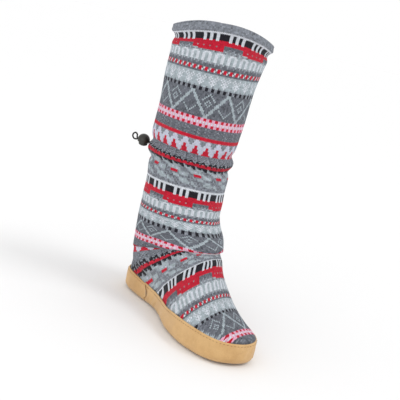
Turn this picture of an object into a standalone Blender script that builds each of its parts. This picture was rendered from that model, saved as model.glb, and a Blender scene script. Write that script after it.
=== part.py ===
"""Slipper sock: a tall knitted boot on a padded suede sole, tied in by a drawcord with a ball lock.

Metres, +Z up, the toe towards +X and the wearer's left towards +Y. It is a right shoe. The origin
lies on the floor, under the middle of the boot's box. Everything is worked out from the heel's
back (x = 0 in the boot's own plan) and moved to that origin when a mesh is made.
"""

import math

import bpy
import numpy as np
from mathutils import Matrix, Vector

FOOT_LENGTH = 0.255
BALL_WIDTH = 0.0865
HEEL_WIDTH = 0.073
INSTEP_HEIGHT = 0.086
ANKLE_HEIGHT = 0.098
BOOT_HEIGHT = 0.358
COLLAR_WIDTH = 0.125
ANKLE_WIDTH = 0.096
KNIT_WALL = 0.0025

SOLE_THICKNESS = 0.006
SOLE_EDGE_BEVEL = 0.003
TOE_SPRING = 0.0025
ARCH_LIFT = 0.0015
BAND_HEIGHT = 0.028
BAND_THICKNESS = 0.003
BAND_FLOOR_CLEARANCE = 0.0008
BAND_SEAM_PLACE = 0.080
INSOLE_THICKNESS = 0.005
SIDE_TOP = 1.06 * BAND_HEIGHT
HEEL_TUCK = 0.016

CASING_HEIGHT = 0.192
CASING_BULGE = 0.0036
CASING_WIDTH = 0.011
RIM_DIP = 0.014
RIM_DIP_REACH = 0.050
SLOUCH_BULGE = 0.0155
SLOUCH_REACH = 0.026
SLOUCH_TURN = math.radians(48.0)
HEM_HEIGHT = 0.0085
HEM_STEP = 0.0006

CORD_DIAMETER = 0.002
CORD_TURN_FROM_BACK = math.radians(44.0)
CORD_HOLE_SPACING = 0.0042
CORD_STRAND_SPACING = 0.0026
LOOP_RADIUS = 0.0036
LOCK_DIAMETER = 0.016
LOCK_STANDOFF = 0.0042
CORD_CLIMB = 0.0016
LOCK_RISE = 0.0022
LOCK_BODY_BOTTOM = -0.0028
BUTTON_RADIUS = 0.0058
BUTTON_TRAVEL = 0.002
BUTTON_TOP = 0.0015
BUTTON_DOME_START = -0.0050
BUTTON_BOTTOM = -0.0078

SEAT_GAP = 0.0003
RING_POINTS = 44
RIM_HIGH_TURN = math.radians(22.0)

SOLE_COLUMNS = ("along", "centre", "half")
SOLE_OUTLINE = (
    (0.000, 0.000, 0.000),
    (0.020, -0.018, 0.345),
    (0.060, -0.028, 0.462),
    (0.120, -0.026, 0.512),
    (0.210, -0.018, 0.502),
    (0.310, -0.012, 0.460),
    (0.400, -0.012, 0.428),
    (0.480, -0.019, 0.436),
    (0.620, -0.023, 0.484),
    (0.730, -0.023, 0.492),
    (0.800, -0.020, 0.467),
    (0.860, -0.006, 0.432),
    (0.920, 0.014, 0.378),
    (0.970, 0.032, 0.268),
    (1.000, 0.060, 0.000),
)

BAND_COLUMNS = ("along", "height")
BAND_TOP = (
    (0.00, 0.93),
    (0.12, 0.93),
    (0.28, 0.84),
    (0.42, 0.77),
    (0.55, 0.86),
    (0.68, 1.00),
    (0.84, 1.04),
    (0.94, 0.97),
    (1.00, 0.89),
)

FOOT_COLUMNS = ("along", "ridge", "lean", "fullness")
FOOT_RIDGE = (
    (0.00, 1.10, 0.00, 6.00),
    (0.10, 1.16, 0.00, 6.00),
    (0.25, 1.18, 0.00, 5.00),
    (0.38, 1.14, 0.02, 3.40),
    (0.48, 1.07, 0.06, 2.90),
    (0.57, 0.97, 0.07, 2.40),
    (0.64, 0.84, 0.05, 1.90),
    (0.71, 0.71, 0.03, 1.60),
    (0.78, 0.60, 0.01, 1.40),
    (0.86, 0.52, 0.00, 1.30),
    (0.94, 0.44, 0.00, 1.40),
    (1.00, 0.360, 0.00, 1.60),
)

SHAFT_COLUMNS = ("height", "forward", "sideways", "collar_share", "ankle_share")
SHAFT_SECTIONS = (
    (-0.40, 0.415, -0.020, 0.000, 0.400),
    (-0.25, 0.417, -0.024, 0.000, 0.450),
    (-0.12, 0.430, -0.020, 0.000, 0.512),
    (0.00, 0.438, -0.008, 0.000, 0.542),
    (0.11, 0.432, -0.004, 0.000, 0.538),
    (0.20, 0.424, 0.000, 0.050, 0.463),
    (0.29, 0.419, -0.001, 0.150, 0.339),
    (0.36, 0.419, -0.005, 0.280, 0.170),
    (0.45, 0.425, -0.007, 0.430, 0.000),
    (0.57, 0.433, 0.001, 0.438, 0.000),
    (0.72, 0.443, 0.009, 0.451, 0.000),
    (0.84, 0.461, 0.023, 0.466, 0.000),
    (0.93, 0.471, 0.025, 0.484, 0.000),
    (1.00, 0.473, 0.023, 0.500, 0.000),
)

# The end loop beyond the lock, in shares of the loop's radius and of half the strands' spacing.
# columns: out from the lock, side, up
CORD_LOOP = (
    (0.20, 1.00, -0.02),
    (0.75, 0.95, -0.20),
    (1.55, 0.80, -0.10),
    (2.15, 0.45, 0.60),
    (2.10, 0.05, 1.45),
    (1.40, -0.40, 1.95),
    (0.75, -0.80, 1.45),
    (0.65, -0.95, 0.75),
    (0.52, -1.00, 0.22),
    (0.20, -1.00, 0.02),
)

KNIT_GREY = (0.34, 0.37, 0.41)
SUEDE_TAN = (0.63, 0.41, 0.18)
LINING_GREY = (0.55, 0.57, 0.60)
CORD_BLACK = (0.02, 0.02, 0.02)
LOCK_BLACK = (0.03, 0.03, 0.025)


def column(rows, names, name):
    """One named column of a table, as an array."""
    return np.array([row[names.index(name)] for row in rows], dtype=float)


def smooth_curve(at, stations, values):
    """A smooth curve through the stations: cubic pieces whose slopes come from the neighbours."""
    at = np.clip(at, stations[0], stations[-1])
    slopes = np.gradient(values, stations)
    piece = np.clip(np.searchsorted(stations, at, side="right") - 1, 0, len(stations) - 2)
    span = stations[piece + 1] - stations[piece]
    t = (at - stations[piece]) / span
    return (
        (1 + 2 * t) * (1 - t) ** 2 * values[piece]
        + t * (1 - t) ** 2 * span * slopes[piece]
        + t * t * (3 - 2 * t) * values[piece + 1]
        + t * t * (t - 1) * span * slopes[piece + 1]
    )


def ease(value, low, high):
    """0 below low, 1 above high and a soft step between."""
    t = np.clip((np.asarray(value, dtype=float) - low) / (high - low), 0.0, 1.0)
    return t * t * (3 - 2 * t)


def turn_of(share):
    """The angle round the outline at a share of its length: even angles crowd at heel and toe."""
    return np.arccos(1 - 2 * np.clip(share, 0.0, 1.0))


def local_width(share):
    """The sole's reference width, from the heel's to the ball's."""
    return HEEL_WIDTH + (BALL_WIDTH - HEEL_WIDTH) * ease(share, 0.25, 0.65)


def sole_point(turns):
    """Points of the sole's outline; turns 0 to pi is the near side, pi to 2 pi the far side."""
    share = (1 - np.cos(turns)) / 2
    stations = turn_of(column(SOLE_OUTLINE, SOLE_COLUMNS, "along"))
    centre = smooth_curve(turn_of(share), stations, column(SOLE_OUTLINE, SOLE_COLUMNS, "centre"))
    half = smooth_curve(turn_of(share), stations, column(SOLE_OUTLINE, SOLE_COLUMNS, "half"))
    side = np.where(np.sin(turns) >= 0, -1.0, 1.0)
    across = centre * BALL_WIDTH + side * half * local_width(share)
    return np.stack([share * FOOT_LENGTH, across], axis=-1)


def ring_turns(count=RING_POINTS):
    """Even angles round the outline, with one at the heel's back."""
    return np.arange(count) * 2 * math.pi / count


def sole_ring(inset, turns=None):
    """The sole's outline moved inwards by inset, along its own normals."""
    turns = ring_turns() if turns is None else turns
    step = 1e-3
    tangent = sole_point((turns + step) % (2 * math.pi)) - sole_point((turns - step) % (2 * math.pi))
    tangent /= np.linalg.norm(tangent, axis=1)[:, None]
    inward = np.stack([-tangent[:, 1], tangent[:, 0]], axis=-1)
    return sole_point(turns) + inset * inward


def floor_lift(along):
    """How far the sole's underside rises: flat at heel and ball, a low arch and a toe spring."""
    share = along / FOOT_LENGTH
    arch = ease(share, 0.24, 0.42) * (1 - ease(share, 0.44, 0.60)) * ARCH_LIFT
    return arch + TOE_SPRING * np.clip((share - 0.80) / 0.20, 0.0, 1.1) ** 2


def band_height(along):
    """The height of the suede band's top edge above the sole's underside."""
    stations = column(BAND_TOP, BAND_COLUMNS, "along")
    share = smooth_curve(along / FOOT_LENGTH, stations, column(BAND_TOP, BAND_COLUMNS, "height"))
    return share * BAND_HEIGHT


def ridge_height(share, inset):
    """The height of the foot's top line at a share of its length."""
    stations = turn_of(column(FOOT_RIDGE, FOOT_COLUMNS, "along"))
    ridge = smooth_curve(turn_of(share), stations, column(FOOT_RIDGE, FOOT_COLUMNS, "ridge"))
    return ridge * INSTEP_HEIGHT - inset


def shaft_section(level, inset):
    """Centre (x, y) and half width of the shaft's round section at a level."""
    share = (level - ANKLE_HEIGHT) / (BOOT_HEIGHT - ANKLE_HEIGHT)
    stations = column(SHAFT_SECTIONS, SHAFT_COLUMNS, "height")

    def read(name):
        return smooth_curve(share, stations, column(SHAFT_SECTIONS, SHAFT_COLUMNS, name))

    half = read("collar_share") * COLLAR_WIDTH + read("ankle_share") * ANKLE_WIDTH
    return read("forward") * COLLAR_WIDTH, read("sideways") * COLLAR_WIDTH, half - inset


def casing_swell(level):
    """The soft roll of the drawcord's casing and the creases pulled in above and below it."""
    away = (level - CASING_HEIGHT) / CASING_WIDTH
    roll = np.exp(-((away / 0.52) ** 2))
    pulled = np.exp(-(((np.abs(away) - 0.92) / 0.34) ** 2))
    return CASING_BULGE * (roll - 0.55 * pulled)


def slouch_swell(level, out):
    """The slack knit that sags over the instep and tucks back in above the foot, most at the front."""
    over = (level - 0.88 * ANKLE_HEIGHT) / SLOUCH_REACH
    height = math.exp(-((over / (0.80 if over > 0 else 0.85)) ** 2))
    front = np.cos(np.arctan2(out[:, 1], out[:, 0]) - SLOUCH_TURN)
    return SLOUCH_BULGE * height * ease(front, -0.30, 0.95)


def upper_ring(level, inset):
    """One level's ring of the upper: the wider of the foot's and the shaft's sections, eased together."""
    turns = ring_turns()
    side_gap = BAND_THICKNESS + SEAT_GAP + inset
    centre_x, centre_y, half = shaft_section(level, inset)
    half = half + casing_swell(level)
    heel_x, toe_x = centre_x - half, centre_x + half
    dense = np.linspace(0.0, math.pi, 361)
    near = sole_ring(side_gap, dense)
    far = sole_ring(side_gap, 2 * math.pi - dense)
    length = near[-1, 0] - near[0, 0]
    shares = (1 - np.cos(dense)) / 2
    side_top = SIDE_TOP
    ridge = np.maximum(ridge_height(shares, inset), side_top + 1e-4)
    inside = np.nonzero(ridge > level)[0]
    if len(inside):
        last = inside[-1]
        reach = 1.0
        if last < len(shares) - 1:
            part = (ridge[last] - level) / (ridge[last] - ridge[last + 1])
            reach = shares[last] + part * (shares[last + 1] - shares[last])
        toe_x = max(toe_x, near[0, 0] + reach * length)
        if level < ANKLE_HEIGHT:
            lowness = 1 - ease(level, 0.35 * ANKLE_HEIGHT, ANKLE_HEIGHT)
            heel_x = heel_x + (near[0, 0] - heel_x) * float(lowness)
    x = heel_x + (toe_x - heel_x) * (1 - np.cos(turns)) / 2
    is_near = np.sin(turns) >= 0
    section = np.sqrt(np.clip(1 - ((x - centre_x) / half) ** 2, 0.0, None)) * half
    shaft_y = np.where(is_near, centre_y - section, centre_y + section)
    share = np.clip((x - near[0, 0]) / length, 0.0, 1.0)
    top = np.interp(turn_of(share), dense, ridge)
    stations = column(FOOT_RIDGE, FOOT_COLUMNS, "along")
    rise = np.clip((level - side_top) / (top - side_top), 0.0, 1.0)
    fullness = smooth_curve(share, stations, column(FOOT_RIDGE, FOOT_COLUMNS, "fullness"))
    narrowing = (1 - rise ** fullness) ** 0.52
    near_y = np.interp(x, near[:, 0], near[:, 1])
    far_y = np.interp(x, far[:, 0], far[:, 1])
    lean = smooth_curve(share, stations, column(FOOT_RIDGE, FOOT_COLUMNS, "lean"))
    middle = (near_y + far_y) / 2 + lean * BALL_WIDTH * ease(level, side_top, INSTEP_HEIGHT)
    half_y = (far_y - near_y) / 2
    in_foot = (x >= near[0, 0]) & (x <= near[0, 0] + length)
    foot_half = np.where(in_foot, half_y * narrowing, 0.0)
    foot_y = np.where(is_near, middle - foot_half, middle + foot_half)
    over_shaft = np.abs(x - centre_x) < half
    wider = np.where(is_near, np.minimum(foot_y, shaft_y), np.maximum(foot_y, shaft_y))
    y = np.where(over_shaft & (foot_half > 0), wider, np.where(over_shaft, shaft_y, foot_y))
    return np.stack([x, y], axis=-1)


def smoothed_ring(points, level):
    """A ring eased by its neighbours, most where shaft and foot meet, for a fillet and not a crease."""
    low, high = ease(level, SIDE_TOP, SIDE_TOP + 0.006), ease(level, ANKLE_HEIGHT, BOOT_HEIGHT / 2)
    amount = 0.5 * low * (1 - high)
    for _ in range(3):
        around = (np.roll(points, 1, axis=0) + np.roll(points, -1, axis=0)) / 2
        points = points + (around - points) * amount
    return points


def collect(name, colour, roughness, metallic, collection, vertices, faces):
    """A named object with its own material, from vertices in the boot's own plan."""
    mesh = bpy.data.meshes.new(name)
    mesh.from_pydata([tuple(v) for v in np.asarray(vertices) - plan_origin()], [], faces)
    mesh.validate()
    piece = bpy.data.objects.new(name, mesh)
    collection.objects.link(piece)
    dress(piece, colour, roughness, metallic)
    mesh.shade_smooth()
    mesh.set_sharp_from_angle(angle=math.radians(45))
    return piece


def dress(piece, colour, roughness, metallic=0.0):
    """Give a piece its own Principled material."""
    material = bpy.data.materials.new(piece.name)
    material.use_nodes = True
    shader = material.node_tree.nodes["Principled BSDF"]
    shader.inputs["Base Color"].default_value = (*colour, 1.0)
    shader.inputs["Roughness"].default_value = roughness
    shader.inputs["Metallic"].default_value = metallic
    piece.data.materials.clear()
    piece.data.materials.append(material)


def plan_origin():
    """The origin in the boot's own plan: the middle of its box, on the floor."""
    rings = np.concatenate([outer_shape()[:, :, :2].reshape(-1, 2), sole_ring(0.0)])
    low, high = rings.min(axis=0), rings.max(axis=0)
    return np.array([(low[0] + high[0]) / 2, (low[1] + high[1]) / 2, 0.0])


def ring_levels():
    """Levels of the upper's rings, from the sole to the rim, closer where the form turns."""
    foot = np.concatenate([
        np.linspace(SOLE_THICKNESS + SEAT_GAP, SIDE_TOP, 3),
        SIDE_TOP + (ANKLE_HEIGHT - SIDE_TOP) * (np.arange(1, 17) / 17) ** 1.35,
    ])
    slouch = ANKLE_HEIGHT + SLOUCH_REACH * np.array([-0.55, -0.38, -0.22, 0.0, 0.3, 0.75, 1.3])
    shaft_low = np.linspace(slouch[-1], CASING_HEIGHT - 1.5 * CASING_WIDTH, 4)[1:]
    casing = CASING_HEIGHT + CASING_WIDTH * np.array([-0.92, -0.5, -0.25, 0.0, 0.25, 0.5, 0.92, 1.5])
    hem_bottom = BOOT_HEIGHT - HEM_HEIGHT
    shaft_high = np.linspace(casing[-1], hem_bottom - HEM_STEP, 8)[1:]
    hem = np.array([hem_bottom, BOOT_HEIGHT - 0.0012, BOOT_HEIGHT])
    return np.concatenate([foot[foot < slouch[0] - 0.0015], slouch, shaft_low, casing, shaft_high, hem])


def plan_rings(inset):
    """The upper's rings in plan before it slouches, each one eased by the rings above and below."""
    levels = ring_levels()
    seated = sole_ring(BAND_THICKNESS + SEAT_GAP + inset)
    rear = 1 - ease((1 - np.cos(ring_turns())) / 2, 0.30, 0.55)
    plans = []
    for level in levels:
        plan = seated
        if level > SIDE_TOP + 1e-9:
            plan = smoothed_ring(upper_ring(level, inset), level)
            low = 1 - ease(level, SIDE_TOP, SIDE_TOP + HEEL_TUCK)
            plan = plan + (seated - plan) * (low * rear)[:, None]
        plans.append(plan)
    plans = np.array(plans)
    free = ease(levels, SIDE_TOP, SIDE_TOP + HEEL_TUCK)
    free = free * (1 - ease(levels, ANKLE_HEIGHT, 1.4 * ANKLE_HEIGHT))
    for _ in range(4):
        middle = (plans[:-2] + plans[2:]) / 2
        plans[1:-1] += (middle - plans[1:-1]) * 0.6 * free[1:-1, None, None]
    return plans


def shape_rings(inset):
    """All rings of the upper at an inset from its outside, as an array of levels by points by xyz."""
    rings = []
    for level, plan in zip(ring_levels(), plan_rings(inset)):
        centre_x, centre_y, half = shaft_section(level, inset)
        out = plan - np.array([centre_x, centre_y])
        reach = np.linalg.norm(out, axis=1)
        out = out / reach[:, None]
        beyond = 1 - ease(reach, 1.3 * half, 2.2 * half)
        plan = plan + out * (slouch_swell(level, out) * beyond)[:, None]
        if level > BOOT_HEIGHT - HEM_HEIGHT - 1e-9:
            rounding = 0.0007 if level > BOOT_HEIGHT - 1e-6 and inset == 0 else 0.0
            plan = plan + out * (HEM_STEP * (1 if inset == 0 else 0) - rounding)
        angle = np.arctan2(out[:, 1], out[:, 0])
        dip = RIM_DIP * np.sin(angle + RIM_HIGH_TURN) ** 2
        dip = dip * ease(level, BOOT_HEIGHT - RIM_DIP_REACH, BOOT_HEIGHT)
        low = 1 - ease(level, 1.2 * BAND_HEIGHT, 0.8 * ANKLE_HEIGHT)
        height = level - dip + floor_lift(plan[:, 0]) * low
        rings.append(np.column_stack([plan, height]))
    return np.array(rings)


_SHAPES = {}


def outer_shape():
    """The upper's outer rings, worked out once."""
    if "outer" not in _SHAPES:
        _SHAPES["outer"] = shape_rings(0.0)
    return _SHAPES["outer"]


def tube_faces(levels, count, first=0, flip=False):
    """Quads between neighbouring rings."""
    faces = []
    for i in range(levels - 1):
        for j in range(count):
            a, b = first + i * count + j, first + i * count + (j + 1) % count
            face = (a, b, b + count, a + count)
            faces.append(face[::-1] if flip else face)
    return faces


def hollow_from_rings(outer, inner):
    """Vertices and faces of a wall between two stacks of rings, open at the top and underneath."""
    levels, count, _ = outer.shape
    vertices = np.concatenate([outer.reshape(-1, 3), inner.reshape(-1, 3)])
    start = levels * count
    faces = tube_faces(levels, count) + tube_faces(levels, count, start, flip=True)
    top, inner_top = (levels - 1) * count, start + (levels - 1) * count
    for j in range(count):
        k = (j + 1) % count
        faces.append((top + j, top + k, inner_top + k, inner_top + j))
        faces.append((k, j, start + j, start + k))
    return vertices, faces


def profile_sweep(path_rings):
    """A closed profile carried along an open path, as vertices and faces with both ends capped."""
    stations, count, _ = path_rings.shape
    vertices = path_rings.reshape(-1, 3)
    faces = []
    for i in range(stations - 1):
        for j in range(count):
            a, b = i * count + j, i * count + (j + 1) % count
            faces.append((a, b, b + count, a + count))
    faces.append(tuple(reversed(range(count))))
    faces.append(tuple(range((stations - 1) * count, stations * count)))
    return vertices, faces


def cord_frame():
    """Where the cord leaves the casing: the point on the wall, and the ways out, along and up."""
    centre_x, centre_y, half = shaft_section(CASING_HEIGHT, 0.0)
    out = np.array([-math.cos(CORD_TURN_FROM_BACK), -math.sin(CORD_TURN_FROM_BACK), 0.0])
    along = np.array([-out[1], out[0], 0.0])
    wall = np.array([float(centre_x), float(centre_y), CASING_HEIGHT])
    wall = wall + out * (float(half) + float(casing_swell(CASING_HEIGHT)))
    return wall - plan_origin(), out, along, np.array([0.0, 0.0, 1.0])


def build_upper(collection, cutters):
    """The knitted upper: one hollow wall from the sole to the rim, pierced twice for the cord."""
    vertices, faces = hollow_from_rings(outer_shape(), shape_rings(KNIT_WALL))
    piece = collect("upper", KNIT_GREY, 0.9, 0.0, collection, vertices, faces)
    wall, out, along, _ = cord_frame()
    for side, word in ((-1, "rear"), (1, "side")):
        bpy.ops.mesh.primitive_cylinder_add(
            vertices=10, radius=CORD_DIAMETER / 2 + SEAT_GAP, depth=6 * KNIT_WALL
        )
        cutter = bpy.context.active_object
        cutter.name = f"cutter_cord_hole_{word}"
        turned = Vector(out).to_track_quat("Z", "Y").to_matrix().to_4x4()
        place = Vector(wall + along * side * CORD_HOLE_SPACING / 2)
        cutter.matrix_world = Matrix.Translation(place) @ turned
        cut_with(piece, cutter, cutters)
    return piece


def cut_with(piece, cutter, cutters):
    """Cut a piece by a cutter, which is kept apart and hidden."""
    move_to(cutter, cutters)
    cutter.display_type = "WIRE"
    cutter.hide_render = True
    cut = piece.modifiers.new(cutter.name, "BOOLEAN")
    cut.operation = "DIFFERENCE"
    cut.object = cutter


def spline_points(knots, count):
    """Even steps in knot count along a Catmull-Rom curve through the knots."""
    knots = np.asarray(knots, dtype=float)
    padded = np.vstack([2 * knots[0] - knots[1], knots, 2 * knots[-1] - knots[-2]])
    at = np.linspace(0, len(knots) - 1 - 1e-9, count)
    i = at.astype(int)
    t = (at - i)[:, None]
    a, b, c, d = padded[i], padded[i + 1], padded[i + 2], padded[i + 3]
    return 0.5 * (
        2 * b + (c - a) * t + (2 * a - 5 * b + 4 * c - d) * t**2 + (3 * b - a - 3 * c + d) * t**3
    )


def cord_tube(name, points, collection):
    """A cord as a round tube with flat ends along the points."""
    curve = bpy.data.curves.new(name, "CURVE")
    curve.dimensions = "3D"
    curve.bevel_depth = CORD_DIAMETER / 2
    curve.bevel_resolution = 2
    curve.use_fill_caps = True
    spline = curve.splines.new("POLY")
    spline.points.add(len(points) - 1)
    for point, place in zip(spline.points, points):
        point.co = (*place, 1.0)
    piece = bpy.data.objects.new(name, curve)
    collection.objects.link(piece)
    dress(piece, CORD_BLACK, 0.8)
    return piece


def build_cords(collection):
    """The drawcord: a ring in the casing's hollow, and the loop that comes out through the lock."""
    wall, out, along, up = cord_frame()
    inner = KNIT_WALL + 3 * SEAT_GAP + CORD_DIAMETER / 2
    centre_x, centre_y, half = shaft_section(CASING_HEIGHT, 0.0)
    radius = float(half) + float(casing_swell(CASING_HEIGHT)) - inner
    middle = wall - out * (radius + inner)
    opening = (CORD_HOLE_SPACING / 2 - CORD_DIAMETER / 2) / radius
    sweep = np.linspace(opening, 2 * math.pi - opening, 50)[:, None]
    ring = middle + radius * (np.cos(sweep) * out + np.sin(sweep) * along)
    cord_tube("drawcord", ring, collection)

    hole, strand = CORD_HOLE_SPACING / 2, CORD_STRAND_SPACING / 2
    ball = LOCK_DIAMETER / 2
    lock = LOCK_STANDOFF + ball
    leave = lock + ball
    straight = [LOCK_STANDOFF, lock - ball / 2, lock, lock + 0.6 * ball, leave]
    leaving = [(0.5 * LOCK_STANDOFF, 0.8 * hole, 0.45 * CORD_CLIMB), (0, hole, 0)]
    leaving.append((-KNIT_WALL - 2 * SEAT_GAP, hole, 0))
    knots = leaving[::-1] + [(o, strand, CORD_CLIMB) for o in straight]
    for o, side, u in CORD_LOOP:
        knots.append((leave + o * LOOP_RADIUS, side * strand, CORD_CLIMB + u * LOOP_RADIUS))
    knots += [(o, -strand, CORD_CLIMB) for o in straight[::-1]]
    knots += [(o, -side, u) for o, side, u in leaving]
    path = spline_points(knots, 66)
    places = [wall + o * out + side * along + u * up for o, side, u in path]
    cord_tube("drawcord_loop", places, collection)


def turned_piece(name, profile, colour, place, heading, collection):
    """A turned shape: a profile of (radius, height) rows, top to bottom on its outside."""
    mesh = bpy.data.meshes.new(name)
    points = [(radius, 0.0, height) for radius, height in profile]
    mesh.from_pydata(points, [(i, i + 1) for i in range(len(points) - 1)], [])
    piece = bpy.data.objects.new(name, mesh)
    collection.objects.link(piece)
    piece.location = place
    piece.rotation_euler = (0.0, 0.0, heading)
    screw = piece.modifiers.new("turned", "SCREW")
    screw.steps = screw.render_steps = 24
    screw.use_merge_vertices = True
    screw.merge_threshold = 0.00001
    screw.use_normal_calculate = True
    dress(piece, colour, 0.35)
    return piece


def channel_cutter(name, centre_up, height, place, heading):
    """A box that cuts the way for both strands of the cord through the lock."""
    bpy.ops.mesh.primitive_cube_add(size=1.0)
    cutter = bpy.context.active_object
    cutter.name = name
    width = CORD_STRAND_SPACING + CORD_DIAMETER + 2 * SEAT_GAP
    for vertex in cutter.data.vertices:
        vertex.co.x *= 1.5 * LOCK_DIAMETER
        vertex.co.y *= width
        vertex.co.z *= height
    cutter.location = Vector(place) + Vector((0.0, 0.0, centre_up))
    cutter.rotation_euler = (0.0, 0.0, heading)
    return cutter


def build_lock(collection, cutters):
    """The ball lock: a domed body open underneath and the sprung button that slides up into it."""
    wall, out, _, up = cord_frame()
    ball = LOCK_DIAMETER / 2
    place = wall + out * (LOCK_STANDOFF + ball) + up * LOCK_RISE
    heading = math.atan2(out[1], out[0])
    bore = BUTTON_RADIUS + SEAT_GAP
    bore_top = BUTTON_TOP + BUTTON_TRAVEL + SEAT_GAP
    lowest = math.asin(LOCK_BODY_BOTTOM / ball)
    dome = [(ball * math.cos(a), ball * math.sin(a)) for a in np.linspace(math.pi / 2, lowest, 10)]
    dome[0] = (0.0, ball)
    body = dome + [(bore, LOCK_BODY_BOTTOM), (bore, bore_top), (0.0, bore_top)]
    piece = turned_piece("cord_lock_body", body, LOCK_BLACK, place, heading, collection)
    height = CORD_DIAMETER + 2 * SEAT_GAP
    cord_level = CORD_CLIMB - LOCK_RISE
    cut_with(piece, channel_cutter("cutter_body_channel", cord_level, height, place, heading), cutters)

    drop = BUTTON_DOME_START - BUTTON_BOTTOM
    cap = [
        (BUTTON_RADIUS * math.cos(a), BUTTON_DOME_START - drop * math.sin(a))
        for a in np.linspace(0, math.pi / 2, 7)
    ]
    cap[-1] = (0.0, BUTTON_BOTTOM)
    button = [(0.0, BUTTON_TOP), (BUTTON_RADIUS, BUTTON_TOP)] + cap
    piece = turned_piece("cord_lock_button", button, LOCK_BLACK, place, heading, collection)
    slot = channel_cutter(
        "cutter_button_slot", cord_level - BUTTON_TRAVEL / 2, height + BUTTON_TRAVEL, place, heading
    )
    cut_with(piece, slot, cutters)


def move_to(piece, collection):
    """Take a new object out of the collections it came in and put it in this one."""
    for old in list(piece.users_collection):
        old.objects.unlink(piece)
    collection.objects.link(piece)


def plate_from_rings(rings):
    """A solid from a stack of rings, its two ends closed by strips across, near side to far side."""
    levels, count, _ = rings.shape
    faces = tube_faces(levels, count)
    half = count // 2
    for start, flip in ((0, True), ((levels - 1) * count, False)):
        for j in range(half):
            a, b = start + j, start + j + 1
            c, d = start + (count - j - 1) % count, start + (count - j) % count
            strip = list(dict.fromkeys((a, b, c, d)))
            faces.append(tuple(reversed(strip)) if flip else tuple(strip))
    return rings.reshape(-1, 3), faces


def sole_stack(steps):
    """Rings of the sole's outline, one for each (inset, height) step."""
    rings = []
    for inset, height in steps:
        plan = sole_ring(inset)
        rings.append(np.column_stack([plan, floor_lift(plan[:, 0]) + height]))
    return np.array(rings)


def build_outsole(collection):
    """The padded suede sole inside the band, its lower edge rounded off by a bevel."""
    side = BAND_THICKNESS + SEAT_GAP
    steps = (
        (side + SOLE_EDGE_BEVEL, 0.0),
        (side + 0.3 * SOLE_EDGE_BEVEL, 0.3 * SOLE_EDGE_BEVEL),
        (side, SOLE_EDGE_BEVEL),
        (side, SOLE_THICKNESS),
    )
    vertices, faces = plate_from_rings(sole_stack(steps))
    return collect("outsole", SUEDE_TAN, 0.85, 0.0, collection, vertices, faces)


def build_insole(collection):
    """The padded footbed, which lies on the sole inside the knit."""
    side = BAND_THICKNESS + KNIT_WALL + 3 * SEAT_GAP
    bottom = SOLE_THICKNESS + SEAT_GAP
    rounding = 0.25 * INSOLE_THICKNESS
    steps = (
        (side, bottom),
        (side, bottom + INSOLE_THICKNESS - rounding),
        (side + rounding, bottom + INSOLE_THICKNESS),
    )
    vertices, faces = plate_from_rings(sole_stack(steps))
    return collect("insole", LINING_GREY, 0.95, 0.0, collection, vertices, faces)


def band_profile(turn):
    """The suede band's section at one turn: up the inside, over the top edge and down the outside."""
    foot = float(sole_point(np.array([turn]))[0, 0])
    top = float(band_height(foot))
    rounding = BAND_THICKNESS
    clear = BAND_FLOOR_CLEARANCE
    steps = (
        (BAND_THICKNESS, rounding + clear),
        (BAND_THICKNESS, top - 0.0006),
        (BAND_THICKNESS - 0.0006, top),
        (0.4 * BAND_THICKNESS, top),
        (0.1 * BAND_THICKNESS, top - 0.0012),
        (0.0, 0.55 * top),
        (0.05 * BAND_THICKNESS, rounding + clear),
        (0.35 * BAND_THICKNESS, 0.35 * rounding + clear),
        (1.05 * BAND_THICKNESS, clear),
        (1.35 * BAND_THICKNESS, clear + 0.0001),
        (1.10 * BAND_THICKNESS, 0.35 * rounding + clear),
    )
    points = []
    for inset, height in steps:
        plan = sole_ring(inset, np.array([turn]))[0]
        points.append((plan[0], plan[1], float(floor_lift(plan[0])) + height))
    return points


def seam_turn():
    """The turn at which the band's two pieces meet."""
    gap = SEAT_GAP / 2
    place = BAND_SEAM_PLACE
    return tuple(float(turn_of(np.array((place + side * gap) / FOOT_LENGTH))) for side in (-1, 1))


def build_bands(collection):
    """The suede band round the sole's side, in a heel piece and a front piece with a seam each side."""
    before, after = seam_turn()
    grid = ring_turns()
    near = 0.15 * grid[1]
    front = [after] + [t for t in grid if after + near < t < 2 * math.pi - after - near]
    front.append(2 * math.pi - after)
    heel = [-before] + [t - 2 * math.pi for t in grid if 2 * math.pi - before + near < t]
    heel += [t for t in grid if t < before - near] + [before]
    for name, turns in (("foxing_front", front), ("foxing_heel", heel)):
        rings = np.array([band_profile(t % (2 * math.pi)) for t in turns])
        vertices, faces = profile_sweep(rings)
        collect(name, SUEDE_TAN, 0.85, 0.0, collection, vertices, faces)


def main():
    """Build every piece of the boot."""
    for old in list(bpy.data.objects):
        bpy.data.objects.remove(old)
    scene = bpy.context.scene
    parts = bpy.data.collections.new("slipper_sock")
    cutters = bpy.data.collections.new("cutters")
    scene.collection.children.link(parts)
    scene.collection.children.link(cutters)
    build_outsole(parts)
    build_insole(parts)
    build_bands(parts)
    build_upper(parts, cutters)
    build_cords(parts)
    build_lock(parts, cutters)


main()
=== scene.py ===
"""The looks of a slipper sock: fair isle knit, suede sole, drawcord and ball lock.

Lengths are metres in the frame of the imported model: the toe towards +X, the wearer's left towards
+Y and +Z up. The knit is a grid of half stitches laid on the boot's own form, so that every stitch
has one yarn. Rows are counted down from the rim, and wales run round from the heel's back.
"""

import logging
import math
from dataclasses import dataclass, field
from enum import Enum

import bpy
import numpy as np
from mathutils import Matrix, Vector

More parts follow.
